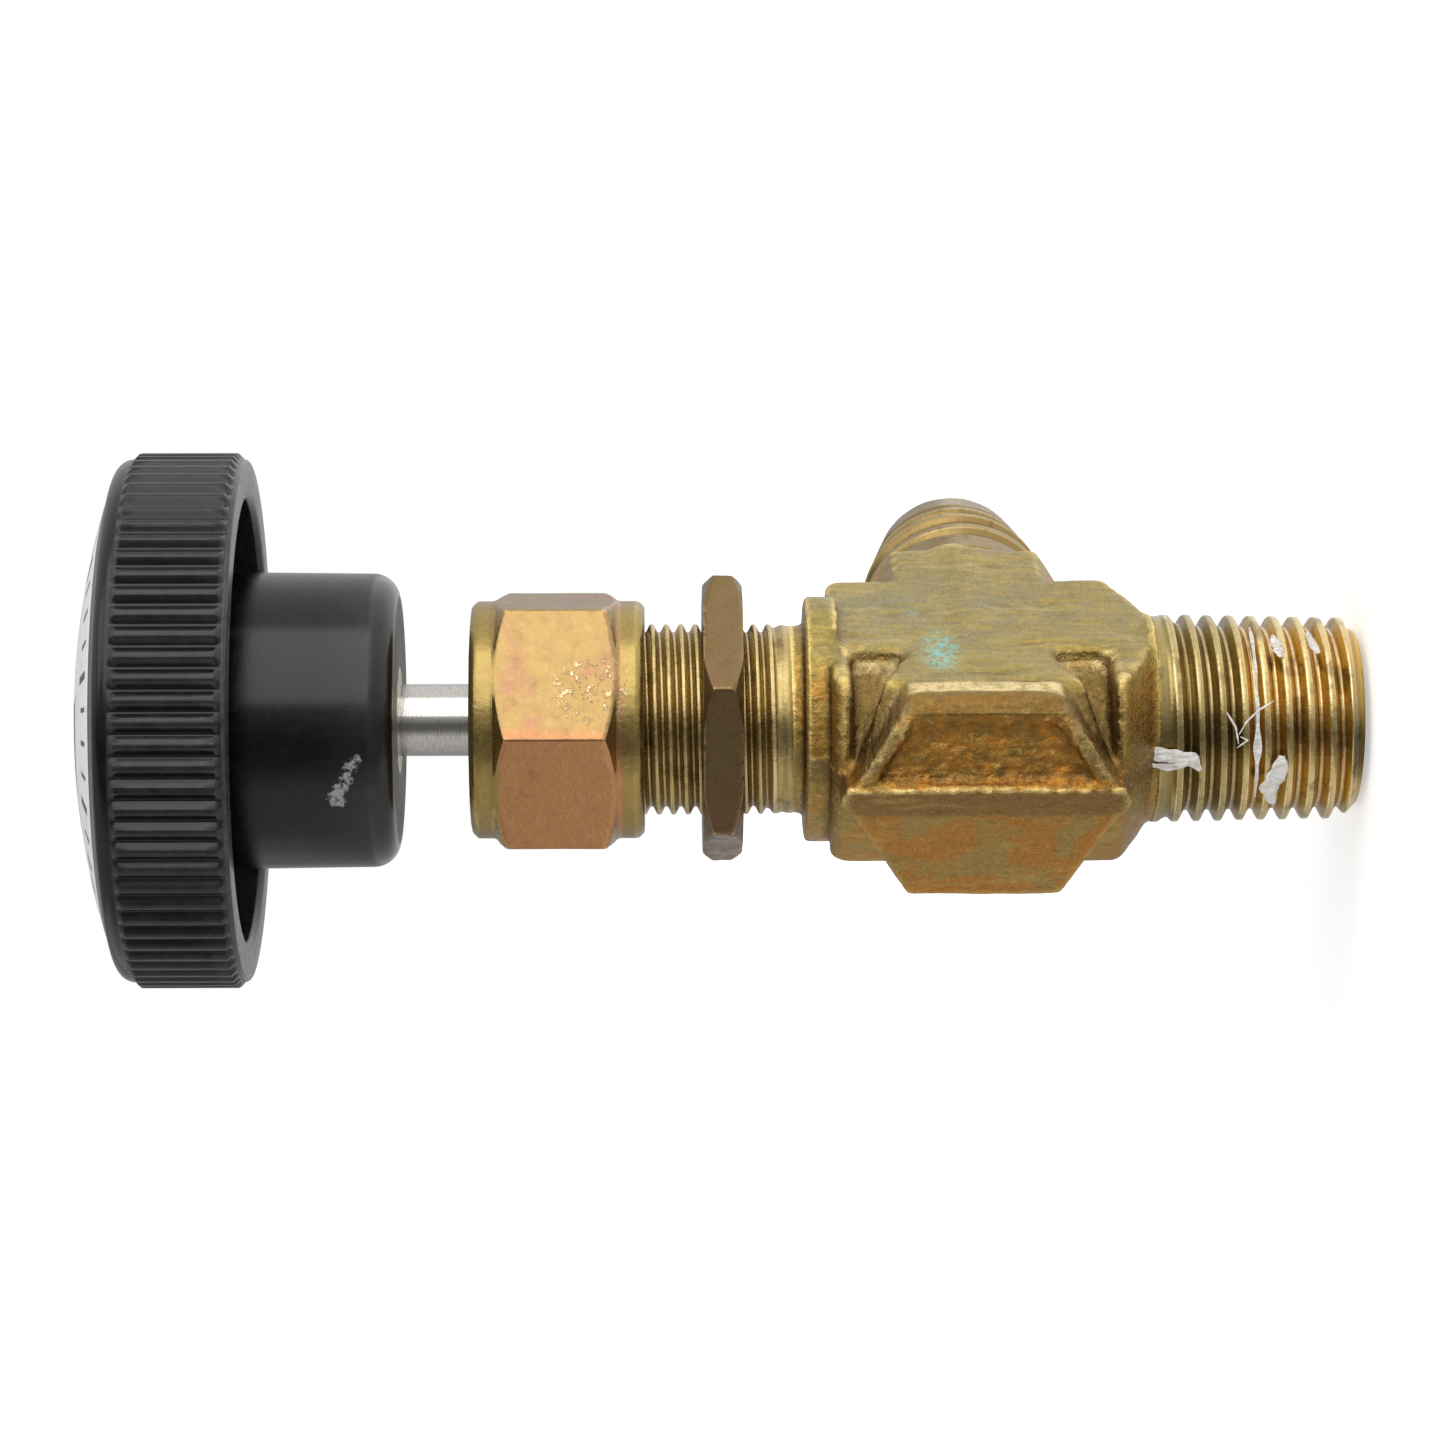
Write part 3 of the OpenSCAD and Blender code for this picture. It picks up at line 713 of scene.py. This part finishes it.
def panel_share(y, z):
    """1 inside the sunk panel of the end face, 0 outside."""
    half = np.interp(-y, PANEL_DEPTHS, PANEL_HALF_WIDTHS)
    edge = smoothstep(0.0, 0.5, half - np.abs(z - OUTLET_Z))
    return edge * within(y, -1.2, -1.5, -5.9, -5.5)


def pocket_share(x, y, z):
    """1 on the near half's side pockets and their ribs, 0 elsewhere."""
    inside = smoothstep(0.3, -0.4, x + 3.5) * within(y, -6.3, -5.6, -1.2, -2.0)
    return inside * (np.abs(z - OUTLET_Z) < 9)


def beads(y, z):
    """Height of the row of small beads round the panel's edges."""
    out = np.zeros(len(y))
    for (z0, y0), (z1, y1) in PANEL_EDGES:
        share = 1.0 if y0 == y1 else 0.5
        d = np.array([z1 - z0, y1 - y0])
        length = np.hypot(*d)
        d /= length
        along = (z - OUTLET_Z - z0) * d[0] + (y - y0) * d[1]
        across = np.abs((z - OUTLET_Z - z0) * d[1] - (y - y0) * d[0])
        inside = (along > 0.3) & (along < length - 0.3)
        row = inside * np.exp(-(across / BEAD_W) ** 2) * (0.3 + 0.7 * np.cos(TURN * along / BEAD_STEP))
        out = np.maximum(out, share * row)
    return BEAD_H * out


def worked_edges(co, edges):
    """The lip, ledges and ribs of the near half made softer, and the flat rolled over its lip."""
    lip = smoothstep(2.4, 0.9, np.hypot(co[:, 0] - LIP_X, co[:, 1] + FLAT_Y))
    co = smoothed(co, edges, 110, lip * smoothstep(6.4, 5.2, np.abs(co[:, 2] - OUTLET_Z)))
    x, y, across = co[:, 0], co[:, 1], np.abs(co[:, 2] - OUTLET_Z)
    ledge = smoothstep(-5.2, -6.2, y) * smoothstep(1.7, 0.8, np.abs(x + 4.2))
    ledge *= within(across, 4.2, 5.0, 10.2, 9.4)
    rib = smoothstep(-0.6, -1.4, y) * smoothstep(-4.8, -5.6, x) * within(across, 3.6, 4.6, 9.2, 8.4)
    co = smoothed(co, edges, 70, np.maximum(ledge, 0.3 * rib))
    roll = np.clip(-10.3 - co[:, 0], 0, 2.2) * smoothstep(-5.6, -6.3, co[:, 1])
    roll *= smoothstep(6.2, 5.2, np.abs(co[:, 2] - OUTLET_Z))
    co[:, 1] += 0.22 * roll ** 2
    return co


def drawn_in(co, axes, centre, mask, limit):
    """Points of the mask are brought within limit of the centre, measured across the two axes."""
    offset = co[:, axes] - centre
    r = np.hypot(*offset.T)
    scale = np.where(mask & (r > limit), limit / np.maximum(r, 1e-6), 1.0)
    co[:, axes] = centre + offset * scale[:, None]


def forged_relief(co):
    """How far the skin stands out at each point: lumps, grain, scars, beads and the line of flash."""
    x, y, z = co.T
    across = np.abs(z - OUTLET_Z)
    outside = (z > NECK_Z) & (z < SEAT_Z - 0.3) & (x < 14.9) & (np.hypot(x, y) > 6.3)
    flat = smoothstep(-6.1, -6.5, y)
    end = smoothstep(LIP_X + 0.9, LIP_X + 0.2, x) * smoothstep(9.4, 8.9, across)
    lumps = fbm(co, 3.0, 3)
    grain = fbm(co, 0.8, 3, 7.3)
    streaks = fbm(co * np.array([2.2, 2.2, 0.45]), 1.6, 3, 4.4)
    depth = 0.045 * lumps + 0.02 * grain + flat * (0.05 * streaks + 0.03 * lumps)
    depth += end * panel_share(y, z) * (0.09 * grain + 0.06 * fbm(co, 0.42, 2, 3.1) - 0.05)
    depth += beads(y, z) * end
    scars = np.maximum(0, fbm(co * np.array([1.4, 1, 0.5]), 2.2, 3, 11.0) - 0.3)
    depth -= flat * 0.25 * scars
    # a ragged line of flash along the upper edge of the trimmed band
    ragged = np.clip(0.5 + 0.8 * fbm(co, 0.7, 3, 2.2), 0, 1.2)
    line = np.exp(-((y - FLASH_Y + 0.02) / 0.13) ** 2) * (np.abs(x) > 7.5) * (x < 0)
    depth += line * 0.16 * ragged
    depth += pocket_share(x, y, z) * 0.05 * fbm(co, 0.55, 3, 6.6)
    return depth * outside


def add_forging():
    mesh = remeshed_copy("valve_body", FORGED_VOXEL)
    edges = edge_array(mesh)
    co = worked_edges(smoothed(vertex_array(mesh), edges, 9), edges)
    x, _, z = co.T.copy()
    drawn_in(co, [0, 1], (0, 0), z < NECK_Z - 0.15, INLET_CORE_R)
    drawn_in(co, [0, 1], (0, 0), z > SEAT_Z + 1.2, BONNET_CORE_R)
    drawn_in(co, [1, 2], (0, OUTLET_Z), x > 14.95, OUTLET_CORE_R)
    write_vertices(mesh, co)
    before = co
    co = co + point_array(mesh, "normal") * forged_relief(co)[:, None]
    write_vertices(mesh, co)
    # above 0 on edges, which are coloured as wear, and below 0 in creases, where painted shade goes
    set_attribute(mesh, "wear_and_shade", edge_wear(mesh))
    # stand is below 0 in hollows, where the skin gets painted shade, and above 0 on crests, where it
    # gets a painted highlight
    stand = ((co - smoothed(co, edges, 60)) * point_array(mesh, "normal")).sum(1)
    set_attribute(mesh, "stand", stand)
    x, y, z = co.T
    across = np.abs(z - OUTLET_Z)
    # the lip attribute: a painted highlight along the lip's ridge and the pocket ledges and, below 0,
    # painted shade under the lip
    ridge = within(x, -10.6, -10.3, -8.8, -9.1) * smoothstep(5.1, 4.8, across)
    ridge *= smoothstep(-5.4, -6.1, y)
    ledge = within(x, -5.6, -5.2, -3.2, -3.5) * within(across, 4.9, 5.4, 9.3, 8.9)
    ledge *= 0.8 * smoothstep(-4.8, -5.3, y)
    below = within(x, -10.3, -10.6, -13.0, -12.4) * smoothstep(5.6, 5.2, across)
    set_attribute(mesh, "lip", np.maximum(ridge, ledge) - below * smoothstep(-5.4, -5.8, y))
    pocket = pocket_share(*before.T)
    past_rib = across - np.interp(-y, PANEL_DEPTHS, PANEL_HALF_WIDTHS)
    # the pocket floors past the ribs, which the skin's material darkens as painted shade
    set_attribute(mesh, "pit", pocket * smoothstep(0.9, 1.4, past_rib))
    set_attribute(mesh, "rib", pocket * within(past_rib, -0.1, 0.3, 1.5, 1.1))
    finish_piece("body_forging", mesh, "body", FORGED, ["valve_body"])


add_forging()

# ---- nuts ----


def add_nut(name, node, body, material, voxel, dent):
    """A nut with slightly uneven faces and nicked corners."""
    mesh = remeshed_copy(node, voxel)
    co = smoothed(vertex_array(mesh), edge_array(mesh), 3)
    write_vertices(mesh, co)
    nicks = np.maximum(0, fbm(co, 0.9, 3, 5.0) - 0.25) * smoothstep(0.02, 0.1, edge_wear(mesh))
    co += point_array(mesh, "normal") * (dent * fbm(co, 2.4, 3) - 0.12 * nicks)[:, None]
    write_vertices(mesh, co)
    # above 0 on edges, which are coloured as wear, and below 0 in creases, where painted shade goes
    set_attribute(mesh, "wear_and_shade", edge_wear(mesh))
    finish_piece(name, mesh, body, material, [node])


add_nut("packing_nut_turned", "packing_nut", "body", NUT, 0.13, 0.012)
add_nut("panel_nut_turned", "panel_nut", "panel_nut", PANEL_NUT, 0.1, 0.01)

# ---- knob ----

FLUTES = 78
KNOB_R = KNOB_HI[0]
KNOB_Z = KNOB_LO[2]
HUB_H = 10.0
RIM_H = 8.55
RIM_Z = KNOB_Z + HUB_H
RIM_TOP = RIM_Z + RIM_H
HUB_R, HUB_END_R, HUB_EDGE = 9.95, 9.8, 1.7
INSERT_R = 3.55
SOCKET_TOP_Z = KNOB_Z + 9.6
WEB_Z = RIM_Z + 5.2
RIM_IN_R = KNOB_R - 3.05
LABEL_R = 15.2
LABEL_DEPTH = 0.42        # the front is sunk this far under the label
RIDGE_H = 0.38
BAND_R = KNOB_R - RIDGE_H - 0.03
FRONT_EDGE, REAR_EDGE = 1.0, 0.25
FRONT_BAND, REAR_BAND = 1.1, 0.3      # plain bands before and behind the ridges
RUN_OUT = 0.4
# the grey on the rim's ridges: partly dust, partly a painted sheen
RIM_DUST_AND_SHEEN = 0.09
DOME_BASE_R = BAND_R - FRONT_EDGE - 0.02
DOME_H = LABEL_TOP_Z - RIM_TOP
DOME_SPHERE_R = (DOME_BASE_R ** 2 + DOME_H ** 2) / (2 * DOME_H)
# one flute's period: where the columns stand, then the outline of land, flank, floor and flank
COLUMN_U = [0.0, 0.1, 0.22, 0.27, 0.41, 0.53, 0.57, 0.68, 0.72, 0.84, 0.96]
FLUTE_U = [0, 0.23, 0.26, 0.54, 0.57, 0.67, 0.70, 0.97, 1.0]
FLUTE_H = [1, 1, 0.95, 0.05, 0, 0, 0.05, 0.95, 1]


def dome_z(r):
    return RIM_TOP + DOME_H - DOME_SPHERE_R + math.sqrt(DOME_SPHERE_R ** 2 - r * r)


def arc(cx, cz, r, a0, a1, n):
    angles = [math.radians(a0 + (a1 - a0) * i / n) for i in range(n + 1)]
    return [(cx + r * math.cos(a), cz + r * math.sin(a)) for a in angles]


def knob_rows():
    """The moulding's outline as rows of (radius, z, share of the ridges, dust and painted sheen)."""
    rows = []

    def put(points, ridge=0.0, dust_and_sheen=0.0):
        rows.extend((r, z, ridge, dust_and_sheen) for r, z in points)

    # rear face and hub
    put([(INSERT_R, KNOB_Z + 3.0), (INSERT_R, KNOB_Z + 0.15), (INSERT_R + 0.15, KNOB_Z)], dust_and_sheen=0.7)
    put([(6.0, KNOB_Z), (7.6, KNOB_Z)], dust_and_sheen=1.0)
    put([(HUB_END_R - HUB_EDGE, KNOB_Z)], dust_and_sheen=0.6)
    put(arc(HUB_END_R - HUB_EDGE, KNOB_Z + HUB_EDGE, HUB_EDGE, -80, 0, 9), dust_and_sheen=0.05)
    hub_z = KNOB_Z + HUB_EDGE
    for t in (0.25, 0.5, 0.75, 1.0):
        put([(HUB_END_R + (HUB_R - HUB_END_R) * t, hub_z + (WEB_Z - 1.0 - hub_z) * t)])
    # web and the rim's inside
    put(arc(HUB_R + 0.7, WEB_Z - 0.7, 0.7, 180, 90, 4), dust_and_sheen=0.25)
    put([(12.0, WEB_Z)], dust_and_sheen=0.3)
    put(arc(RIM_IN_R - 0.8, WEB_Z - 0.8, 0.8, 90, 0, 4), dust_and_sheen=0.3)
    put([(RIM_IN_R, RIM_Z + 2.4), (RIM_IN_R, RIM_Z + 0.45)], dust_and_sheen=0.15)
    put(arc(RIM_IN_R + 0.4, RIM_Z + 0.4, 0.4, 180, 270, 4), dust_and_sheen=0.35)
    put([(RIM_IN_R + 1.2, RIM_Z)], dust_and_sheen=0.3)
    put(arc(BAND_R - REAR_EDGE, RIM_Z + REAR_EDGE, REAR_EDGE, -90, 0, 4), dust_and_sheen=0.25)
    # the ridges, which run out at both ends
    bottom, top = RIM_Z + REAR_BAND, RIM_TOP - FRONT_BAND
    rise = (0.0, 0.06, 0.5, 0.94, 1.0)
    for t in rise:
        put([(BAND_R, bottom + RUN_OUT * t)], ridge=t, dust_and_sheen=RIM_DUST_AND_SHEEN)
    for t in (0.2, 0.4, 0.6, 0.8):
        put([(BAND_R, bottom + RUN_OUT + (top - bottom - 2 * RUN_OUT) * t)], ridge=1.0, dust_and_sheen=RIM_DUST_AND_SHEEN)
    for t in reversed(rise):
        put([(BAND_R, top - RUN_OUT * t)], ridge=t, dust_and_sheen=RIM_DUST_AND_SHEEN)
    # domed front, with a seat for the label
    put(arc(BAND_R - FRONT_EDGE, RIM_TOP - FRONT_EDGE, FRONT_EDGE, 0, 90, 8))
    put([(r, dome_z(r)) for r in (DOME_BASE_R, 15.7, LABEL_R + 0.12)])
    put([(LABEL_R + 0.03, dome_z(LABEL_R) - 0.08), (LABEL_R + 0.02, dome_z(LABEL_R) - 0.35)])
    put([(r, dome_z(r) - LABEL_DEPTH) for r in (LABEL_R - 0.6, 12.0, 8.0, 4.0, 0.02)])
    put([(0.02, SOCKET_TOP_Z), (INSERT_R, SOCKET_TOP_Z)])
    return np.array(rows)


def loop_faces(rows, columns):
    """Quads between closed rings of points, the last ring joined to the first."""
    faces = []
    for i in range(rows):
        a, b = i * columns, (i + 1) % rows * columns
        for j in range(columns):
            k = (j + 1) % columns
            faces.append((a + j, a + k, b + k, b + j))
    return faces


def sharp_by_angle(obj, degrees):
    with bmesh_of(obj.data) as bm:
        for e in bm.edges:
            if len(e.link_faces) == 2 and e.calc_face_angle(0) > math.radians(degrees):
                e.smooth = False


def add_knob():
    """The moulding as one lathe form, whose rim rows are cut by the flutes."""
    rows = knob_rows()
    height = np.tile(np.interp(COLUMN_U, FLUTE_U, FLUTE_H), FLUTES)
    theta = np.array([(i + u) * TURN / FLUTES for i in range(FLUTES) for u in COLUMN_U])
    nicks = np.array([noise.noise((t * 40, 3.1, 0)) for t in theta])
    lift = (RIDGE_H + 0.03) * height - 0.05 * np.maximum(nicks - 0.15, 0)
    r = rows[:, 0][:, None] + rows[:, 2][:, None] * lift[None, :]
    z = np.broadcast_to(rows[:, 1][:, None], r.shape)
    co = np.stack([r * np.cos(theta)[None, :], r * np.sin(theta)[None, :], z], -1).reshape(-1, 3)
    # the grey on the rim lies on the ridges, not in the flutes: partly dust, partly a painted sheen
    dust_and_sheen = (rows[:, 3][:, None] * (1 - rows[:, 2][:, None] * (1 - height)[None, :])).ravel()
    obj = new_piece("knob_moulding", co, loop_faces(len(rows), len(theta)), "handle",
                    PHENOLIC, ["knob"], attrs={"dust_and_sheen": dust_and_sheen})
    sharp_by_angle(obj, 38)


add_knob()


def lathe(name, profile, body, material, replaces, columns):
    """A closed ring form: profile is a loop of (radius, z)."""
    theta = np.arange(columns) * TURN / columns
    co = [np.stack([r * np.cos(theta), r * np.sin(theta), np.full(columns, z)], 1) for r, z in profile]
    obj = new_piece(name, np.concatenate(co), loop_faces(len(profile), columns), body, material,
                    replaces)
    sharp_by_angle(obj, 35)


def add_label():
    top = [(r, dome_z(r)) for r in np.linspace(0.02, LABEL_R - 0.25, 26)]
    edge_z = dome_z(LABEL_R)
    edge = [(LABEL_R - 0.1, edge_z), (LABEL_R - 0.04, edge_z - 0.1), (LABEL_R - 0.04, edge_z - 0.34)]
    under = [(r, dome_z(r) - 0.36) for r in np.linspace(LABEL_R - 0.3, 0.02, 12)]
    profile = (top + edge + under)[::-1]
    lathe("dial_disc", profile, "handle", LABEL, ["knob_label"], 144)


TICKS, LONG_EVERY, TICK_R, TICK_STEP = 40, 4, 14.3, 0.7
TICK_HALF, LONG_TICK_HALF, TICK_HALF_AT_R = 0.012, 0.02, 13      # radians either side, at that radius
ARROW_R0, ARROW_R1, ARROW_SPAN = 7.6, 8.8, math.radians(150)
MARK_LIFT, MARK_SINK = 0.012, 0.05


def add_dial_marks():
    """Plain ticks round the dial and a curved arrow for the way that opens the valve."""
    co, faces = [], []

    def patch(*points):
        """A thin plate on the dome, over a ring of (radius, angle) points."""
        start, n = len(co), len(points)
        for dz in (MARK_LIFT, -MARK_SINK):
            co.extend((r * math.cos(a), r * math.sin(a), dome_z(r) + dz) for r, a in points)
        faces.append([start + i for i in range(n)])
        faces.append([start + n + i for i in reversed(range(n))])
        for i in range(n):
            k = (i + 1) % n
            faces.append([start + i, start + n + i, start + n + k, start + k])

    def strip(r0, r1, a0, a1, steps):
        for i in range(steps):
            b0, b1 = a0 + (a1 - a0) * i / steps, a0 + (a1 - a0) * (i + 1) / steps
            patch((r0, b0), (r1, b0), (r1, b1), (r0, b1))

    for i in range(TICKS):
        a = i * TURN / TICKS
        long = i % LONG_EVERY == 0
        half = (LONG_TICK_HALF if long else TICK_HALF) * TICK_HALF_AT_R
        for k in range(3 if long else 2):
            r0 = TICK_R - (k + 1) * TICK_STEP
            r1 = r0 + TICK_STEP
            patch((r0, a - half / r0), (r1, a - half / r1), (r1, a + half / r1), (r0, a + half / r0))
    tip = SIDE_ANGLE + math.radians(8)
    strip(ARROW_R0, ARROW_R1, tip - ARROW_SPAN, tip, 60)
    strip(ARROW_R1, ARROW_R1 + 0.2, tip - ARROW_SPAN, tip, 60)
    patch((ARROW_R0 - 0.6, tip), (ARROW_R1 + 0.8, tip), (8.3, tip + 0.3))
    new_piece("dial_marks", co, faces, "handle", INK, smooth=False)


add_label()
add_dial_marks()

# ---- stem ----

STEM_R, FOOT_R = 2.4, 2.9
STEM_THREAD_R, STEM_THREAD_DEPTH, STEM_THREAD_TOP_Z = 3.175, 0.55, 37.6
STEM_PITCH = 0.907


def add_stem():
    """The stem as a lathe form: button foot, threaded length, polished shank."""
    foot_z, end_z = STEM_LO[2], STEM_HI[2]
    thread_z = foot_z + 3.4
    root_r = STEM_THREAD_R - STEM_THREAD_DEPTH
    profile = [(0.02, foot_z), (2.6, foot_z), (FOOT_R, foot_z + 0.3), (FOOT_R, thread_z - 0.3),
               (2.6, thread_z)]
    z = thread_z + 0.4
    while z < STEM_THREAD_TOP_Z - 0.8:
        profile += [(root_r, z), (STEM_THREAD_R, z + STEM_PITCH * 0.42),
                    (STEM_THREAD_R, z + STEM_PITCH * 0.55), (root_r, z + STEM_PITCH * 0.95)]
        z += STEM_PITCH
    profile += [(STEM_R, z) for z in (STEM_THREAD_TOP_Z, 45, 55, 60, 64, end_z - 0.4)]
    profile += [(STEM_R - 0.4, end_z), (0.02, end_z)]
    lathe("stem_turned", profile, "handle", STEEL, ["stem"], 96)


add_stem()

# ---- white thread tape left on the inlet's thread ----

TAPE_STEPS, TAPE_ACROSS = 26, 6
TAPE_THICK = 0.05
FIRST_TAPE_SEED = 40


def add_tape(name, line, width, radius, seed, ragged=0.35):
    """A torn strip of tape: line is a list of (z, degrees) along its middle."""
    steps, across = TAPE_STEPS, TAPE_ACROSS
    t = np.linspace(0, 1, steps)
    knots = np.linspace(0, 1, len(line))
    zs = np.interp(t, knots, [p[0] for p in line])
    al = np.radians(np.interp(t, knots, [p[1] for p in line]))
    phase = random.Random(seed).random() * 9
    half = []
    for u in t:
        torn = 1 + ragged * (noise.noise((u * 7, phase, 0)) * 1.5)
        half.append(width * 0.5 * math.sin(math.pi * min(max(u, 0.03), 0.97)) ** 0.45 * torn)
    co, hem, faces = [], [], []
    for face in (1, -1):
        for i in range(steps):
            after, ahead = max(i - 1, 0), min(i + 1, steps - 1)
            d = np.array([zs[ahead] - zs[after], (al[ahead] - al[after]) * radius])
            d = d / max(np.linalg.norm(d), 1e-9)
            for k in range(across + 1):
                part = k / across * 2 - 1
                w = part * half[i]
                z = zs[i] - d[1] * w
                a = al[i] + d[0] * w / radius
                wrinkle = 0.06 * noise.noise((z * 1.4, a * 9, phase)) + 0.03 * math.sin(w * 14 + phase)
                r = radius + 0.05 + wrinkle + face * TAPE_THICK / 2
                co.append(point_round_stem(r, z, a))
                hem.append(abs(part) ** 4)
    row = across + 1
    n = steps * row
    for start in (0, n):
        for i in range(steps - 1):
            for k in range(across):
                q = start + i * row + k
                quad = [q, q + 1, q + row + 1, q + row]
                faces.append(quad[::-1] if start else quad)
    rim = [i * row for i in range(steps)]
    rim += [(steps - 1) * row + k for k in range(1, row)]
    rim += [i * row + across for i in reversed(range(steps - 1))]
    rim += reversed(range(1, across))
    for i, a in enumerate(rim):
        b = rim[(i + 1) % len(rim)]
        faces.append([a, b, b + n, a + n])
    obj = new_piece(name, co, faces, "body", PTFE, attrs={"hem": np.array(hem)})
    with bmesh_of(obj.data) as bm:
        bmesh.ops.recalc_face_normals(bm, faces=bm.faces)


# (z, degrees) along the middle, width, how far out from the thread's radius, and how ragged
TAPES = (
    (((15.2, -23), (14.2, -19), (12.8, -21), (11.6, -22), (10.9, -29)), 1.0, 0.3),
    (((14.6, -25), (13.0, -27), (11.6, -25)), 0.45, 0.36),
    (((9.3, 3), (8.7, -5), (8.5, -14)), 0.14, 0.3),
    (((8.5, -9), (8.0, -2), (7.2, 4), (6.2, 9)), 0.12, 0.34),
    (((8.4, -10), (7.9, -12), (8.6, -16)), 0.1, 0.3),
    (((5.6, -21), (5.7, -30), (6.3, -42), (5.9, -55)), 1.1, 0.16),
    (((5.9, 52), (5.7, 42), (5.5, 35)), 0.7, 0.12),
    (((3.6, 55), (3.3, 44), (3.0, 38)), 0.55, 0.1),
    # worn almost through along a crest
    (((7.3, 62), (7.25, 20), (7.2, -20), (7.1, -50)), 0.3, 0.02, 1.1),
)
for i, (line, width, out, *ragged) in enumerate(TAPES):
    add_tape("tape_%d" % (i + 1), line, width, INLET_R + out, FIRST_TAPE_SEED + i, *ragged)

# ---- inner pieces keep their CAD shapes, with better finishes ----

FINISHES = {"needle_tip": STEEL, "packing_washer": STEEL, "lower_packing": PACKING,
            "upper_packing": PACKING, "gland": NUT, "knob_insert": NUT, "knob_set_screw": DARK_STEEL}
for node, material in FINISHES.items():
    mesh = nodes[node].data
    mesh.materials.clear()
    mesh.materials.append(material)

# ---- floor, lights and world ----

# how bright the room looks in reflections, by degrees turned up from the near side round the stem
ROOM = ((-180, 0.40), (-150, 0.36), (-115, 0.46), (-80, 0.60), (-56, 0.62), (-42, 0.32), (-32, 0.15),
        (-14, 0.12), (0, 0.32), (12, 0.52), (40, 0.8), (75, 1.0), (132, 0.95), (155, 0.7), (180, 0.40))
ROOM_ON_SURFACES = 0.75       # and how bright it is as a light
FLOOR_SIZE, FLOOR_Z = 6.0, -0.0004
FLOOR_TONE, FLOOR_ROUGHNESS = 0.78, 0.9
GLOW_FROM, GLOW_TO = (0.08, 0.45), (0.45, 0.9)      # the floor's own light: metres out, and level


def room_light(t, direction):
    """Strength of the room seen in the direction, which changes round the stem's axis only."""
    angle = t.math("ARCTAN2", *(t.vector("DOT_PRODUCT", direction, axis) for axis in (up, side)))
    ramp = t.node("ValToRGB", {0: t.spread(angle, -math.pi, math.pi)})
    stops = ramp.color_ramp.elements
    while len(stops) < len(ROOM):
        stops.new(0.5)
    for stop, (degrees, level) in zip(stops, ROOM):
        stop.position = (degrees + 180) / 360
        stop.color = (level, level, level, 1)
    return ramp.outputs["Color"]


def ray_kinds(t):
    """Whether a ray comes from the camera, and whether from a mirror or glass."""
    path = t.node("LightPath").outputs
    return path["Is Camera Ray"], t.math("MAXIMUM", path["Is Glossy Ray"], path["Is Transmission Ray"])


def add_floor():
    bpy.ops.mesh.primitive_plane_add(size=FLOOR_SIZE, location=(0, 0, FLOOR_Z))
    floor = bpy.context.active_object
    floor.name = "floor"
    material = bpy.data.materials.new("floor")
    material.use_nodes = True
    t = Nodes(material.node_tree)
    bsdf = t.tree.nodes["Principled BSDF"]
    place = t.node("TexCoord").outputs["Object"]
    from_camera, mirrored = ray_kinds(t)
    shown = t.math("MULTIPLY_ADD", mirrored, room_light(t, place), from_camera)
    glow = t.times(shown, t.spread(t.vector("LENGTH", place), *GLOW_FROM, *GLOW_TO))
    t.connect(t.spread(mirrored, 0.0, 1.0, FLOOR_TONE, shown), bsdf.inputs["Base Color"])
    t.connect(FLOOR_ROUGHNESS, bsdf.inputs["Roughness"])
    light = t.node("Emission", {"Color": (1, 1, 1), "Strength": glow})
    both = t.node("AddShader", {0: bsdf.outputs[0], 1: light.outputs[0]})
    t.connect(both.outputs[0], t.tree.nodes["Material Output"].inputs["Surface"])
    floor.data.materials.append(material)


LAMPS_AIM_Z = 42.0


def add_area(name, direction, distance, width, height, radiance, color=(1, 1, 1)):
    """An area lamp turned to the object, so bright that its face has the given radiance."""
    data = bpy.data.lights.new(name, "AREA")
    data.shape = "RECTANGLE"
    data.size, data.size_y = width * MM, height * MM
    data.energy = radiance * math.pi * width * height * MM * MM
    data.color = color
    obj = new_object(name, data)
    d = np.asarray(direction, float)
    d /= np.linalg.norm(d)
    obj.location = Vector((np.array([0, 0, LAMPS_AIM_Z]) + d * distance) * MM)
    obj.rotation_mode = "QUATERNION"
    obj.rotation_quaternion = Vector(d).to_track_quat("Z", "Y")


def add_lights():
    rise = math.radians(43.6)
    key = side * math.cos(rise) + up * math.sin(rise)
    add_area("key", key, 380, 460, 430, 1.7, (1.0, 0.99, 0.97))
    add_area("fill", (0.1, 0.9, 0.45), 480, 320, 320, 0.35)
    add_area("crown", side * 0.5 + up * 0.45 + stem_up * 0.75, 430, 240, 240, 1.2)


def make_world():
    world = bpy.data.worlds.new("world")
    bpy.context.scene.world = world
    world.use_nodes = True
    t = Nodes(world.node_tree)
    t.tree.nodes.clear()
    room = room_light(t, t.node("TexCoord").outputs["Generated"])
    from_camera, mirrored = ray_kinds(t)
    level = t.spread(mirrored, 0.0, 1.0, ROOM_ON_SURFACES, room)
    level = t.spread(from_camera, 0.0, 1.0, level, 1.0)
    shade = t.node("Background", {"Color": (1, 1, 1), "Strength": level})
    t.node("OutputWorld", {"Surface": shade.outputs[0]})


add_floor()
add_lights()
make_world()
bpy.context.scene.view_settings.view_transform = "Standard"
